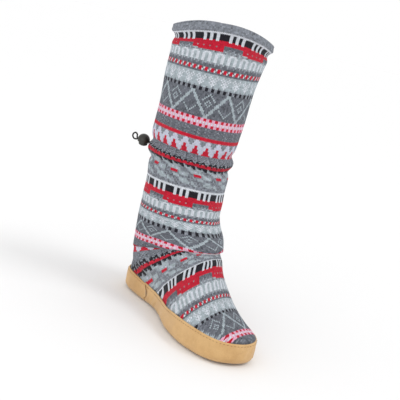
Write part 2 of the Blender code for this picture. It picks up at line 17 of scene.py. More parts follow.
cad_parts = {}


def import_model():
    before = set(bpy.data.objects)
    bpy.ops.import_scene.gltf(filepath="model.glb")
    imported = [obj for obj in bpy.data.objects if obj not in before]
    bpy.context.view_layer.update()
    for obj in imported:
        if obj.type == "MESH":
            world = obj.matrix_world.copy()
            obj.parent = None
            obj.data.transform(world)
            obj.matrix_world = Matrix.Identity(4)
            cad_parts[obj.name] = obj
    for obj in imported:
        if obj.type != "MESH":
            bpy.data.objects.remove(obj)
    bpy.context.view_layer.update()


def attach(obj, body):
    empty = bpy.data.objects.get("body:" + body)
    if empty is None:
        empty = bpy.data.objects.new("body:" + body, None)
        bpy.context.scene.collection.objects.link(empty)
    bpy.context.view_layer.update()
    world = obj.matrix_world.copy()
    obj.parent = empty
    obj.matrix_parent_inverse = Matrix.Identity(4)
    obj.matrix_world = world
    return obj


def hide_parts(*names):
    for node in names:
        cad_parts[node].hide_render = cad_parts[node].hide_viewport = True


LOG = logging.getLogger("slipper_sock")
MM = 0.001
WHOLE_TURN = 2 * math.pi
UP = np.array([0.0, 0.0, 1.0])
# the least share of the circle's area that is left at a tube's end
END_AREA = 0.06


class Yarn(Enum):
    """The yarns of the knit, by their letter in the charts."""

    BLACK = "k"
    WHITE = "w"
    RED = "r"
    PINK = "p"
    DARK = "d"
    GREY = "g"
    LIGHT = "l"
    LILAC = "v"


class Facing(Enum):
    """Which way a grid's faces look."""

    AS_LAID = 1
    TURNED = -1


def linear(red: float, green: float, blue: float) -> tuple[float, float, float]:
    """Turn a screen colour of 0 to 255 into linear light.

    Args:
        red: The red part.
        green: The green part.
        blue: The blue part.

    Returns:
        The three parts from 0 to 1 in linear light.
    """
    shares = np.array([red, green, blue]) / 255.0
    parts = np.where(shares <= 0.04045, shares / 12.92, ((shares + 0.055) / 1.055) ** 2.4)
    return tuple(float(part) for part in parts)


def shade(colour: tuple[float, float, float], factor: float) -> tuple[float, float, float]:
    """Return a colour made darker or brighter by a factor, up to full light."""
    return tuple(min(1.0, part * factor) for part in colour)


def even_turns(count: int) -> np.ndarray:
    """Return even angles round a whole turn, from 0."""
    return np.arange(count) * WHOLE_TURN / count


def ease(value: np.ndarray, low: float, high: float) -> np.ndarray:
    """Step softly from 0 at low to 1 at high, by three squares less two cubes."""
    part = np.clip((np.asarray(value, dtype=float) - low) / (high - low), 0.0, 1.0)
    return part * part * (3 - 2 * part)


def cubic(t: np.ndarray, length: np.ndarray, low: tuple, high: tuple) -> np.ndarray:
    """Read a cubic piece that has given values and slopes at its two ends.

    Args:
        t: How far along the piece, from 0 to 1.
        length: The piece's length.
        low: The value and the slope at its beginning.
        high: The value and the slope at its end.

    Returns:
        The values.
    """
    return (
        (1 + 2 * t) * (1 - t) ** 2 * low[0]
        + t * (1 - t) ** 2 * length * low[1]
        + t * t * (3 - 2 * t) * high[0]
        + t * t * (t - 1) * length * high[1]
    )


def smooth_curve(at: np.ndarray, stations: np.ndarray, values: np.ndarray) -> np.ndarray:
    """Read a smooth curve through stations: cubic pieces whose slopes come from the neighbours.

    Args:
        at: Where to read.
        stations: Rising places of the known values.
        values: The known values.

    Returns:
        The values at each place.
    """
    at = np.clip(at, stations[0], stations[-1])
    slopes = np.gradient(values, stations)
    piece = np.clip(np.searchsorted(stations, at, side="right") - 1, 0, len(stations) - 2)
    length = stations[piece + 1] - stations[piece]
    t = (at - stations[piece]) / length
    low, high = ((values[i], slopes[i]) for i in (piece, piece + 1))
    return cubic(t, length, low, high)


def through_points(knots: np.ndarray, count: int) -> np.ndarray:
    """Carry a Catmull-Rom curve through knots and read it at even steps of the knots' count.

    Args:
        knots: The points to pass through.
        count: How many points to read.

    Returns:
        The points along the curve.
    """
    knots = np.asarray(knots, dtype=float)
    padded = np.vstack([2 * knots[0] - knots[1], knots, 2 * knots[-1] - knots[-2]])
    at = np.linspace(0, len(knots) - 1 - 1e-9, count)
    i = at.astype(int)
    t = (at - i)[:, None]
    a, b, c, d = padded[i], padded[i + 1], padded[i + 2], padded[i + 3]
    return 0.5 * (
        2 * b + (c - a) * t + (2 * a - 5 * b + 4 * c - d) * t**2 + (3 * b - a - 3 * c + d) * t**3
    )


class Wire:
    """A number or colour on its way through a material; arithmetic on it adds Math nodes."""

    def __init__(self, recipe: "Recipe", socket: bpy.types.NodeSocket) -> None:
        """Keep the socket and the recipe that it belongs to."""
        self.recipe = recipe
        self.socket = socket

    def _math(self, operation: str, first: object, second: object) -> "Wire":
        """Add one Math node on two numbers or wires and return the wire that leaves it."""
        return self.recipe.node("ShaderNodeMath", {"operation": operation}, {0: first, 1: second})

    def __add__(self, other: object) -> "Wire":
        """Add."""
        return self._math("ADD", self, other)

    __radd__ = __add__

    def __sub__(self, other: object) -> "Wire":
        """Subtract."""
        return self._math("SUBTRACT", self, other)

    def __rsub__(self, other: object) -> "Wire":
        """Subtract from a number."""
        return self._math("SUBTRACT", other, self)

    def __mul__(self, other: object) -> "Wire":
        """Multiply."""
        return self._math("MULTIPLY", self, other)

    __rmul__ = __mul__

    def __pow__(self, other: object) -> "Wire":
        """Raise to a power."""
        return self._math("POWER", self, other)

    def fraction(self) -> "Wire":
        """Keep what is past the whole number."""
        return self._math("FRACT", self, 0.0)

    def sine(self) -> "Wire":
        """Take the sine of the angle."""
        return self._math("SINE", self, 0.0)

    def stepped(self, low: float, high: float) -> "Wire":
        """Step softly from 0 at low to 1 at high."""
        values = {"Value": self, "From Min": low, "From Max": high}
        return self.recipe.node("ShaderNodeMapRange", {"interpolation_type": "SMOOTHSTEP"}, values)


class Recipe:
    """One material's node tree."""

    def __init__(self, name: str) -> None:
        """Start an empty material with its shader and its output.

        Args:
            name: The material's name.
        """
        self.material = bpy.data.materials.new(name)
        self.material.use_nodes = True
        self.tree = self.material.node_tree
        self.shader = self.tree.nodes["Principled BSDF"]

    def node(self, kind: str, settings: dict, sockets: dict, out: object = 0) -> Wire:
        """Add a node.

        Args:
            kind: The node's type.
            settings: Its settings, set before its sockets.
            sockets: Values or wires for its inputs, by name or place.
            out: The output to return, by name or place.

        Returns:
            The wire of that output.
        """
        made = self.tree.nodes.new(kind)
        for key, value in settings.items():
            setattr(made, key, value)
        self._fill(made, sockets)
        return Wire(self, made.outputs[out])

    def _fill(self, made: bpy.types.Node, sockets: dict) -> None:
        """Set or link a node's inputs.

        Args:
            made: The node.
            sockets: Values or wires, by the input's name or place.
        """
        for key, value in sockets.items():
            target = made.inputs[key]
            if isinstance(value, Wire):
                self.tree.links.new(value.socket, target)
            elif hasattr(target.default_value, "__len__") and len(target.default_value) == 4:
                target.default_value = (*value, 1.0)
            else:
                target.default_value = value

    def noise(
        self, vector: Wire, scale: float, detail: float = 2.0, roughness: float = 0.5
    ) -> Wire:
        """Add a noise of so many blotches in a metre, with finer layers, and return its number."""
        values = {"Vector": vector, "Scale": scale, "Detail": detail, "Roughness": roughness}
        return self.node("ShaderNodeTexNoise", {}, values, "Fac")

    def place(self) -> Wire:
        """Read the object's own coordinates, in metres."""
        return self.node("ShaderNodeTexCoord", {}, {}, "Object")

    def parts(self, vector: Wire) -> tuple[Wire, Wire, Wire]:
        """Split a vector.

        Args:
            vector: The vector's wire.

        Returns:
            Its three numbers.
        """
        first = self.node("ShaderNodeSeparateXYZ", {}, {"Vector": vector}, "X")
        node = first.socket.node
        return first, Wire(self, node.outputs["Y"]), Wire(self, node.outputs["Z"])

    def blend(self, share: Wire, low: object, high: object) -> Wire:
        """Mix a share of the second colour or wire into the first and return the colour."""
        settings = {"data_type": "RGBA", "blend_type": "MIX"}
        return self.node("ShaderNodeMix", settings, {0: share, 6: low, 7: high}, 2)

    def relief(self, height: Wire, distance: float, strength: float = 1.0) -> None:
        """Let a height tilt the shading.

        Args:
            height: The height, in shares of the distance.
            distance: How deep the relief is.
            strength: How much of it is used.
        """
        values = {"Height": height, "Distance": distance, "Strength": strength}
        bump = self.node("ShaderNodeBump", {}, values)
        self.tree.links.new(bump.socket, self.shader.inputs["Normal"])

    def finish(self, **values: object) -> bpy.types.Material:
        """Fill the shader's sockets, with spaces for underscores, and return the material."""
        self._fill(self.shader, {key.replace("_", " "): value for key, value in values.items()})
        return self.material


@dataclass(frozen=True)
class KnitFinish:
    """Brushed wool yarn in plain stitches: two slanted legs make each stitch."""

    relief_depth: float = 0.00045
    groove_shade: float = 0.44
    leg_roundness: float = 0.6
    end_roundness: float = 0.35
    end_fall: float = 0.55
    fibre_scale: float = 2600.0
    fibre_relief: float = 0.30
    blotch_scale: float = 420.0
    # the yarn's plain tone, and what the fibres and the blotches add to it
    tones: tuple[float, float, float] = (0.84, 0.26, 0.18)

    def make(self) -> bpy.types.Material:
        """Build the material.

        A leg is as high as the sine of half a turn across it, and falls at its two ends. The
        grooves between the legs get painted shade, and fine fibres lighten and darken the yarn.

        Returns:
            The knit's material.
        """
        recipe = Recipe("knitted_wool")
        across, along, _ = recipe.parts(recipe.node("ShaderNodeUVMap", {"uv_map": "stitches"}, {}))
        leg = ((across * 2.0).fraction() * math.pi).sine() ** self.leg_roundness
        ends = ((along.fraction() * math.pi).sine()) ** self.end_roundness
        height = leg * ((1.0 - self.end_fall) + self.end_fall * ends)
        place = recipe.place()
        fibre = recipe.noise(place, self.fibre_scale, 3.0, 0.6)
        blotch = recipe.noise(place, self.blotch_scale, 2.0, 0.6)
        yarn = recipe.node("ShaderNodeAttribute", {"attribute_name": "yarn"}, {}, "Color")
        # painted shade: the lower the stitch relief, the darker the yarn's colour
        groove = (1.0 - self.groove_shade) + self.groove_shade * height
        plain, fibrous, blotchy = self.tones
        tone = groove * (plain + fibrous * fibre + blotchy * blotch)
        grey = recipe.node("ShaderNodeCombineXYZ", {}, {0: tone, 1: tone, 2: tone})
        colour = recipe.node("ShaderNodeVectorMath", {"operation": "MULTIPLY"}, {0: yarn, 1: grey})
        recipe.relief(height + self.fibre_relief * fibre, self.relief_depth)
        return recipe.finish(
            Base_Color=colour, Roughness=0.94, Specular_IOR_Level=0.12,
            Sheen_Weight=0.08, Sheen_Roughness=0.6,
        )


@dataclass(frozen=True)
class FleeceFinish:
    """Short soft pile."""

    name: str
    colour: tuple[float, float, float]
    tuft_scale: float = 620.0
    broad_scale: float = 45.0
    tuft_share: float = 0.75
    dark_shade: float = 0.62
    bright_shade: float = 1.12
    relief_depth: float = 0.0016

    def make(self) -> bpy.types.Material:
        """Build the material: tufts of noise with painted shade between them, mixed with broad
        random blotches.

        Returns:
            The pile's material.
        """
        recipe = Recipe(self.name)
        place = recipe.place()
        tufts = recipe.noise(place, self.tuft_scale, 4.0, 0.62)
        broad = recipe.noise(place, self.broad_scale, 2.0)
        # painted shade between the tufts, mixed with broad random tone
        lit = (self.tuft_share * tufts + (1.0 - self.tuft_share) * broad).stepped(0.28, 0.72)
        dark, bright = shade(self.colour, self.dark_shade), shade(self.colour, self.bright_shade)
        colour = recipe.blend(lit, dark, bright)
        recipe.relief(tufts, self.relief_depth)
        return recipe.finish(
            Base_Color=colour, Roughness=0.97, Specular_IOR_Level=0.12,
            Sheen_Weight=0.35, Sheen_Roughness=0.6,
        )


@dataclass(frozen=True)
class SuedeFinish:
    """Tan suede with a short nap that lies in clouds."""

    pale: tuple[float, float, float] = linear(212, 174, 122)
    deep: tuple[float, float, float] = linear(190, 150, 99)
    low_tan: tuple[float, float, float] = linear(164, 130, 90)
    cloud_scale: float = 38.0
    grain_scale: float = 900.0
    nap_scale: float = 3200.0
    low_tan_share: float = 0.55
    low_tan_waver: float = 0.004
    relief_depth: float = 0.00028

    def make(self) -> bpy.types.Material:
        """Build the material.

        Broad clouds and a fine grain of noise mix a pale and a deep tan. The lowest millimetres are
        a little darker. The grain and the nap give the relief.

        Returns:
            The suede's material.
        """
        recipe = Recipe("tan_suede")
        place = recipe.place()
        _, _, up = recipe.parts(place)
        clouds = recipe.noise(place, self.cloud_scale, 4.0, 0.6)
        grain = recipe.noise(place, self.grain_scale, 3.0, 0.6)
        nap = recipe.noise(place, self.nap_scale, 2.0, 0.6)
        lie = (0.7 * clouds + 0.3 * grain).stepped(0.30, 0.66)
        tan = recipe.blend(lie, self.deep, self.pale)
        # darker tan towards the bottom, over the lowest millimetres and the underside
        low = 1.0 - (up + self.low_tan_waver * clouds).stepped(0.001, 0.007)
        colour = recipe.blend(self.low_tan_share * low, tan, self.low_tan)
        recipe.relief(0.5 * grain + 0.5 * nap, self.relief_depth)
        return recipe.finish(
            Base_Color=colour, Roughness=0.86 + 0.10 * grain, Specular_IOR_Level=0.22,
            Sheen_Weight=0.25, Sheen_Roughness=0.5,
        )


@dataclass(frozen=True)
class ThreadFinish:
    """Twisted sewing thread."""

    colour: tuple[float, float, float] = linear(168, 128, 80)
    twist_scale: float = 2600.0
    dark_shade: float = 0.6
    relief_depth: float = 0.0001

    def make(self) -> bpy.types.Material:
        """Build the material: fine noise for the twist.

        Returns:
            The thread's material.
        """
        recipe = Recipe("sewing_thread")
        twist = recipe.noise(recipe.place(), self.twist_scale, 2.0)
        colour = recipe.blend(twist, shade(self.colour, self.dark_shade), self.colour)
        recipe.relief(twist, self.relief_depth)
        return recipe.finish(Base_Color=colour, Roughness=0.7, Specular_IOR_Level=0.3)


@dataclass(frozen=True)
class CordFinish:
    """Round braided elastic cord; its own map runs round it and along it."""

    colour: tuple[float, float, float] = linear(38, 37, 36)
    ribs_round: float = 6.0
    dark_shade: float = 0.5
    relief_depth: float = 0.00016

    def make(self) -> bpy.types.Material:
        """Build the material: two sets of slanted ribs, sines of round plus and less along.

        Returns:
            The cord's material.
        """
        recipe = Recipe("braided_cord")
        around, along, _ = recipe.parts(recipe.node("ShaderNodeUVMap", {"uv_map": "braid"}, {}))
        right = ((around * self.ribs_round + along) * WHOLE_TURN).sine()
        left = ((around * self.ribs_round - along) * WHOLE_TURN).sine()
        ribs = 0.5 + 0.25 * right + 0.25 * left
        # painted shade: the grooves between the ribs are darker
        colour = recipe.blend(ribs, shade(self.colour, self.dark_shade), self.colour)
        recipe.relief(ribs, self.relief_depth)
        return recipe.finish(Base_Color=colour, Roughness=0.72, Specular_IOR_Level=0.35)


@dataclass(frozen=True)
class PlasticFinish:
    """Dark olive-black moulded plastic, finely sparked and rubbed a little brighter in places."""

    colour: tuple[float, float, float] = linear(40, 39, 32)
    spark_scale: float = 5200.0
    rub_scale: float = 260.0
    bright_shade: float = 1.3
    relief_depth: float = 0.00004
    relief_strength: float = 0.6

    def make(self) -> bpy.types.Material:
        """Build the material: a fine sparked skin, with broad noise in its colour and gloss.

        Returns:
            The plastic's material.
        """
        recipe = Recipe("moulded_plastic")
        place = recipe.place()
        spark = recipe.noise(place, self.spark_scale, 2.0)
        rubbed = recipe.noise(place, self.rub_scale, 3.0)
        bright = shade(self.colour, self.bright_shade)
        colour = recipe.blend(rubbed.stepped(0.4, 0.8), self.colour, bright)
        recipe.relief(spark, self.relief_depth, self.relief_strength)
        return recipe.finish(
            Base_Color=colour, Roughness=0.30 + 0.16 * rubbed, Specular_IOR_Level=0.5
        )


@dataclass(frozen=True)
class FloorFinish:
    """A plain pale studio floor."""

    colour: tuple[float, float, float] = (0.86, 0.86, 0.86)

    def make(self) -> bpy.types.Material:
        """Return the material."""
        recipe = Recipe("studio_floor")
        return recipe.finish(Base_Color=self.colour, Roughness=0.95, Specular_IOR_Level=0.1)


class Grid:
    """A surface on a grid whose last column joins the first, made into one mesh."""

    sharp_angle = math.radians(55.0)

    def __init__(self, points: np.ndarray, facing: Facing = Facing.AS_LAID) -> None:
        """Keep the points and number each face's corners.

        Args:
            points: Rows by columns by three.
            facing: Which way the faces look.
        """
        self.points = points
        self.facing = facing
        rows, columns, _ = points.shape
        row, column = np.meshgrid(np.arange(rows - 1), np.arange(columns), indexing="ij")
        self.rows = np.stack([row, row, row + 1, row + 1], axis=-1).reshape(-1, 4)
        self.columns = np.stack([column, column + 1, column + 1, column], axis=-1).reshape(-1, 4)
        self.maps: dict[str, tuple[np.ndarray, np.ndarray]] = {}
        self.colours: dict[str, np.ndarray] = {}
        self.kept = np.ones(len(self.rows), dtype=bool)
        self.caps: list[np.ndarray] = []

    def map(self, name: str, across: np.ndarray, along: np.ndarray) -> "Grid":
        """Give the grid a map from one number per column edge and one per row."""
        self.maps[name] = (np.asarray(across, dtype=float), np.asarray(along, dtype=float))
        return self

    def colour(self, name: str, colours: np.ndarray) -> "Grid":
        """Give each face a colour, from rows by columns of faces by three."""
        self.colours[name] = colours.reshape(-1, 3)
        return self

    def keep(self, faces: np.ndarray) -> "Grid":
        """Keep only these faces, from rows by columns of faces of true and false."""
        self.kept = faces.reshape(-1)
        return self

    def cap(self, row: int, reverse: bool) -> "Grid":
        """Close an end row with one face.

        Args:
            row: The row's number.
            reverse: Whether the face looks back along the rows.

        Returns:
            The grid.
        """
        columns = self.points.shape[1]
        ring = np.arange(columns) + row * columns
        self.caps.append(ring[::-1] if reverse else ring)
        return self

    def mesh(self, name: str) -> bpy.types.Mesh:
        """Make the mesh.

        Args:
            name: The mesh's name.

        Returns:
            The mesh, with its maps and colours.
        """
        rows, columns, _ = self.points.shape
        corner_rows, corner_columns = self.rows[self.kept], self.columns[self.kept]
        index = corner_rows * columns + corner_columns % columns
        if self.facing is Facing.TURNED:
            index = index[:, ::-1]
            corner_rows, corner_columns = corner_rows[:, ::-1], corner_columns[:, ::-1]
        mesh = bpy.data.meshes.new(name)
        loops = np.concatenate([index.reshape(-1), *self.caps])
        sizes = [len(cap) for cap in self.caps]
        totals = np.concatenate([np.full(len(index), 4), sizes]).astype(int)
        mesh.vertices.add(rows * columns)
        mesh.vertices.foreach_set("co", self.points.reshape(-1).astype(np.float32))
        mesh.loops.add(len(loops))
        mesh.loops.foreach_set("vertex_index", loops.astype(np.int32))
        mesh.polygons.add(len(totals))
        starts = np.concatenate([[0], np.cumsum(totals)[:-1]])
        mesh.polygons.foreach_set("loop_start", starts.astype(np.int32))
        mesh.update(calc_edges=True)
        spare = len(loops) - index.size
        for key, (across, along) in self.maps.items():
            layer = mesh.uv_layers.new(name=key)
            pair = np.stack([across[corner_columns], along[corner_rows]], axis=-1).reshape(-1, 2)
            layer.data.foreach_set("uv", np.vstack([pair, np.zeros((spare, 2))]).reshape(-1))
        for key, colours in self.colours.items():
            layer = mesh.color_attributes.new(name=key, type="FLOAT_COLOR", domain="CORNER")
            painted = np.vstack([np.repeat(colours[self.kept], 4, axis=0), np.zeros((spare, 3))])
            painted = np.hstack([painted, np.ones((len(painted), 1))])
            layer.data.foreach_set("color", painted.reshape(-1))
        mesh.shade_smooth()
        if self.caps:
            mesh.set_sharp_from_angle(angle=self.sharp_angle)
        mesh.validate()
        return mesh


def place_piece(
    name: str, mesh: bpy.types.Mesh, finish: bpy.types.Material, body: str = "boot"
) -> bpy.types.Object:
    """Put a mesh into the scene as a piece of the boot.

    Args:
        name: The piece's name.
        mesh: Its mesh, already in place.
        finish: Its material.
        body: The body that it rides on.

    Returns:
        The piece.
    """
    piece = bpy.data.objects.new(name, mesh)
    bpy.context.scene.collection.objects.link(piece)
    mesh.materials.append(finish)
    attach(piece, body)
    LOG.info("%s: %d faces", name, len(mesh.polygons))
    return piece


def tube(path: np.ndarray, radius: float, sides: int, name: str) -> bpy.types.Mesh:
    """Carry a circle along a path.

    The circle's plane is turned as little as possible from point to point. Over the last radius at
    each end the circle shrinks as a ball does, and a small flat face closes it.

    Args:
        path: The points of the middle line.
        radius: The circle's radius.
        sides: How many sides the circle has.
        name: The mesh's name.

    Returns:
        The tube, with a map that runs round it and along it.
    """
    tangent = np.gradient(path, axis=0)
    tangent /= np.linalg.norm(tangent, axis=1)[:, None]
    normal = np.cross(tangent[0], UP)
    frames = []
    for direction in tangent:
        normal = normal - direction * float(normal @ direction)
        normal = normal / np.linalg.norm(normal)
        frames.append(normal)
    side = np.array(frames)
    other = np.cross(tangent, side)
    along = np.concatenate([[0.0], np.cumsum(np.linalg.norm(np.diff(path, axis=0), axis=1))])
    near = np.minimum(along, along[-1] - along)
    swell = np.sqrt(np.clip(1 - (1 - np.clip(near / radius, 0, 1)) ** 2, END_AREA, 1))
    turn = even_turns(sides)[None, :, None]
    ring = side[:, None] * np.cos(turn) + other[:, None] * np.sin(turn)
    grid = Grid(path[:, None] + ring * (radius * swell)[:, None, None])
    grid.map("braid", np.arange(sides + 1) / sides, along / (math.pi * radius))
    return grid.cap(0, reverse=True).cap(len(path) - 1, reverse=False).mesh(name)


@dataclass
class BootForm:
    """The boot's form: the same sizes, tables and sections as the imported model's source."""

    foot_length: float = 0.255
    ball_width: float = 0.0865
    heel_width: float = 0.073
    instep_height: float = 0.086
    ankle_height: float = 0.098
    boot_height: float = 0.358
    collar_width: float = 0.125
    ankle_width: float = 0.096
    knit_wall: float = 0.0025
    sole_thickness: float = 0.006
    toe_spring: float = 0.0025
    arch_lift: float = 0.0015
    band_height_full: float = 0.028
    band_thickness: float = 0.003
    heel_tuck: float = 0.016
    casing_height: float = 0.192
    casing_bulge: float = 0.0036
    casing_width: float = 0.011
    rim_dip: float = 0.014
    rim_dip_reach: float = 0.050
    rim_high_turn: float = math.radians(22.0)
    slouch_bulge: float = 0.0155
    slouch_reach: float = 0.026
    slouch_turn: float = math.radians(48.0)
    hem_height: float = 0.0085
    hem_step: float = 0.0006
    seat_gap: float = 0.0003
    ring_points: int = 44
    # columns: along, centre, half
    sole_outline: tuple = (
        (0.000, 0.000, 0.000), (0.020, -0.018, 0.345), (0.060, -0.028, 0.462),
        (0.120, -0.026, 0.512), (0.210, -0.018, 0.502), (0.310, -0.012, 0.460),
        (0.400, -0.012, 0.428), (0.480, -0.019, 0.436), (0.620, -0.023, 0.484),
        (0.730, -0.023, 0.492), (0.800, -0.020, 0.467), (0.860, -0.006, 0.432),
        (0.920, 0.014, 0.378), (0.970, 0.032, 0.268), (1.000, 0.060, 0.000),
    )
    # columns: along, height
    band_top: tuple = (
        (0.00, 0.93), (0.12, 0.93), (0.28, 0.84), (0.42, 0.77), (0.55, 0.86), (0.68, 1.00),
        (0.84, 1.04), (0.94, 0.97), (1.00, 0.89),
    )
    # columns: along, ridge, lean, fullness
    foot_ridge: tuple = (
        (0.00, 1.10, 0.00, 6.00), (0.10, 1.16, 0.00, 6.00), (0.25, 1.18, 0.00, 5.00),
        (0.38, 1.14, 0.02, 3.40), (0.48, 1.07, 0.06, 2.90), (0.57, 0.97, 0.07, 2.40),
        (0.64, 0.84, 0.05, 1.90), (0.71, 0.71, 0.03, 1.60), (0.78, 0.60, 0.01, 1.40),
        (0.86, 0.52, 0.00, 1.30), (0.94, 0.44, 0.00, 1.40), (1.00, 0.360, 0.00, 1.60),
    )
    # columns: height, forward, sideways, collar share, ankle share
    shaft_sections: tuple = (
        (-0.40, 0.415, -0.020, 0.000, 0.400), (-0.25, 0.417, -0.024, 0.000, 0.450),
        (-0.12, 0.430, -0.020, 0.000, 0.512), (0.00, 0.438, -0.008, 0.000, 0.542),
        (0.11, 0.432, -0.004, 0.000, 0.538), (0.20, 0.424, 0.000, 0.050, 0.463),
        (0.29, 0.419, -0.001, 0.150, 0.339), (0.36, 0.419, -0.005, 0.280, 0.170),
        (0.45, 0.425, -0.007, 0.430, 0.000), (0.57, 0.433, 0.001, 0.438, 0.000),
        (0.72, 0.443, 0.009, 0.451, 0.000), (0.84, 0.461, 0.023, 0.466, 0.000),
        (0.93, 0.471, 0.025, 0.484, 0.000), (1.00, 0.473, 0.023, 0.500, 0.000),
    )
    spine_start: float = 0.034
    # waves round a ring past this number fade out, so the curve doesn't ring
    wave_limit: float = 17.0
    outline_steps: int = 361
    ring_passes: int = 3
    level_passes: int = 4
    side_top: float = field(init=False)
    origin: np.ndarray = field(init=False)
    levels: np.ndarray = field(init=False)
    rings: np.ndarray = field(init=False)

    def __post_init__(self) -> None:
        """Work out the upper's outer rings and the origin once."""
        self.side_top = 1.06 * self.band_height_full
        self.levels = self._ring_levels()
        plan = self._shape_rings()
        edge = np.concatenate([plan[:, :, :2].reshape(-1, 2), self.sole_ring(0.0, self._turns())])
        low, high = edge.min(axis=0), edge.max(axis=0)
        self.origin = np.array([(low[0] + high[0]) / 2, (low[1] + high[1]) / 2, 0.0])
        self.rings = plan - self.origin

    def _turns(self) -> np.ndarray:
        """Return the even angles round the outline."""
        return even_turns(self.ring_points)

    @staticmethod
    def _turn_of(share: np.ndarray) -> np.ndarray:
        """Return the angle round the outline at a share of its length."""
        return np.arccos(1 - 2 * np.clip(share, 0.0, 1.0))

    def sole_point(self, turns: np.ndarray) -> np.ndarray:
        """Read the sole's outline.

        Args:
            turns: Angles round the outline; those from 0 to pi are its outer side.

        Returns:
            Points in plan.
        """
        table = np.array(self.sole_outline)
        share = (1 - np.cos(turns)) / 2
        stations = self._turn_of(table[:, 0])
        centre = smooth_curve(self._turn_of(share), stations, table[:, 1])
        half = smooth_curve(self._turn_of(share), stations, table[:, 2])
        side = np.where(np.sin(turns) >= 0, -1.0, 1.0)
        width = self.heel_width + (self.ball_width - self.heel_width) * ease(share, 0.25, 0.65)
        across = centre * self.ball_width + side * half * width
        return np.stack([share * self.foot_length, across], axis=-1)

    def sole_ring(self, inset: object, turns: np.ndarray) -> np.ndarray:
        """Return the sole's outline moved inwards along its own normals.

        Args:
            inset: How far, one number or one for each turn.
            turns: The angles round the outline.

        Returns:
            Points in plan.
        """
        step = 1e-3
        before, after = (self.sole_point((turns + s) % WHOLE_TURN) for s in (-step, step))
        tangent = after - before
        tangent /= np.linalg.norm(tangent, axis=-1, keepdims=True)
        inward = np.stack([-tangent[..., 1], tangent[..., 0]], axis=-1)
        return self.sole_point(turns % WHOLE_TURN) + np.asarray(inset)[..., None] * inward

    def spine(self, edge: np.ndarray, middle: float, front: float) -> np.ndarray:
        """Return the sole's middle line, abreast of an edge's points.

        Args:
            edge: The edge's points in plan.
            middle: The line's place across the boot.
            front: How far behind the toe the line ends.

        Returns:
            Points in plan.
        """
        along = np.clip(edge[:, 0], self.spine_start, self.foot_length - front)
        return np.column_stack([along, np.full(len(edge), middle)])

    def floor_lift(self, along: np.ndarray) -> np.ndarray:
        """Return how far the sole rises off the floor.

        Args:
            along: Places from the heel's back.

        Returns:
            The rise of a low arch and a toe spring.
        """
        share = along / self.foot_length
        arch = ease(share, 0.24, 0.42) * (1 - ease(share, 0.44, 0.60)) * self.arch_lift
        return arch + self.toe_spring * np.clip((share - 0.80) / 0.20, 0.0, 1.1) ** 2

    def band_height(self, along: np.ndarray) -> np.ndarray:
        """Return the height of the suede band's top edge."""
        table = np.array(self.band_top)
        return smooth_curve(along / self.foot_length, *table.T) * self.band_height_full

    def shaft_section(self, level: np.ndarray) -> tuple[np.ndarray, np.ndarray, np.ndarray]:
        """Read the shaft's round section.

        Args:
            level: The level.

        Returns:
            The centre's x and y and the half width.
        """
        table = np.array(self.shaft_sections)
        share = (level - self.ankle_height) / (self.boot_height - self.ankle_height)
        forward, sideways, collar, ankle = (
            smooth_curve(share, table[:, 0], table[:, i]) for i in range(1, 5)
        )
        half = collar * self.collar_width + ankle * self.ankle_width
        return forward * self.collar_width, sideways * self.collar_width, half

    def casing_swell(self, level: np.ndarray) -> np.ndarray:
        """Return the casing's roll.

        Args:
            level: The level.

        Returns:
            How far it stands out: one bell outwards between two bells inwards.
        """
        away = (level - self.casing_height) / self.casing_width
        roll = np.exp(-((away / 0.52) ** 2))
        pulled = np.exp(-(((np.abs(away) - 0.92) / 0.34) ** 2))
        return self.casing_bulge * (roll - 0.55 * pulled)

    def _slouch_swell(self, level: float, out: np.ndarray) -> np.ndarray:
        """Return how far the slack knit sags outwards over the instep.

        Args:
            level: The level.
            out: Directions in plan, away from the shaft's centre.

        Returns:
            A bell over the levels, most in front.
        """
        over = (level - 0.88 * self.ankle_height) / self.slouch_reach
        height = math.exp(-((over / (0.80 if over > 0 else 0.85)) ** 2))
        front = np.cos(np.arctan2(out[:, 1], out[:, 0]) - self.slouch_turn)
        return self.slouch_bulge * height * ease(front, -0.30, 0.95)

    def _upper_ring(self, level: float) -> np.ndarray:
        """Work out one level's ring: the wider of the foot's section and the shaft's.

        Args:
            level: The level.

        Returns:
            Points in plan.
        """
        turns = self._turns()
        centre_x, centre_y, half = self.shaft_section(level)
        half = half + self.casing_swell(level)
        heel_x, toe_x = centre_x - half, centre_x + half
        dense = np.linspace(0.0, math.pi, self.outline_steps)
        inset = self.band_thickness + self.seat_gap
        near = self.sole_ring(inset, dense)
        far = self.sole_ring(inset, WHOLE_TURN - dense)
        length = near[-1, 0] - near[0, 0]
        shares = (1 - np.cos(dense)) / 2
        table = np.array(self.foot_ridge)
        stations = self._turn_of(table[:, 0])
        ridge = smooth_curve(self._turn_of(shares), stations, table[:, 1]) * self.instep_height
        ridge = np.maximum(ridge, self.side_top + 1e-4)
        inside = np.nonzero(ridge > level)[0]
        if len(inside):
            last = inside[-1]
            reach = 1.0
            if last < len(shares) - 1:
                part = (ridge[last] - level) / (ridge[last] - ridge[last + 1])
                reach = shares[last] + part * (shares[last + 1] - shares[last])
            toe_x = max(toe_x, near[0, 0] + reach * length)
            if level < self.ankle_height:
                lowness = 1 - ease(level, 0.35 * self.ankle_height, self.ankle_height)
                heel_x = heel_x + (near[0, 0] - heel_x) * float(lowness)
        x = heel_x + (toe_x - heel_x) * (1 - np.cos(turns)) / 2
        is_near = np.sin(turns) >= 0
        section = np.sqrt(np.clip(1 - ((x - centre_x) / half) ** 2, 0.0, None)) * half
        shaft_y = np.where(is_near, centre_y - section, centre_y + section)
        share = np.clip((x - near[0, 0]) / length, 0.0, 1.0)
        top = np.interp(self._turn_of(share), dense, ridge)
        rise = np.clip((level - self.side_top) / (top - self.side_top), 0.0, 1.0)
        narrowing = (1 - rise ** smooth_curve(share, table[:, 0], table[:, 3])) ** 0.52
        near_y = np.interp(x, near[:, 0], near[:, 1])
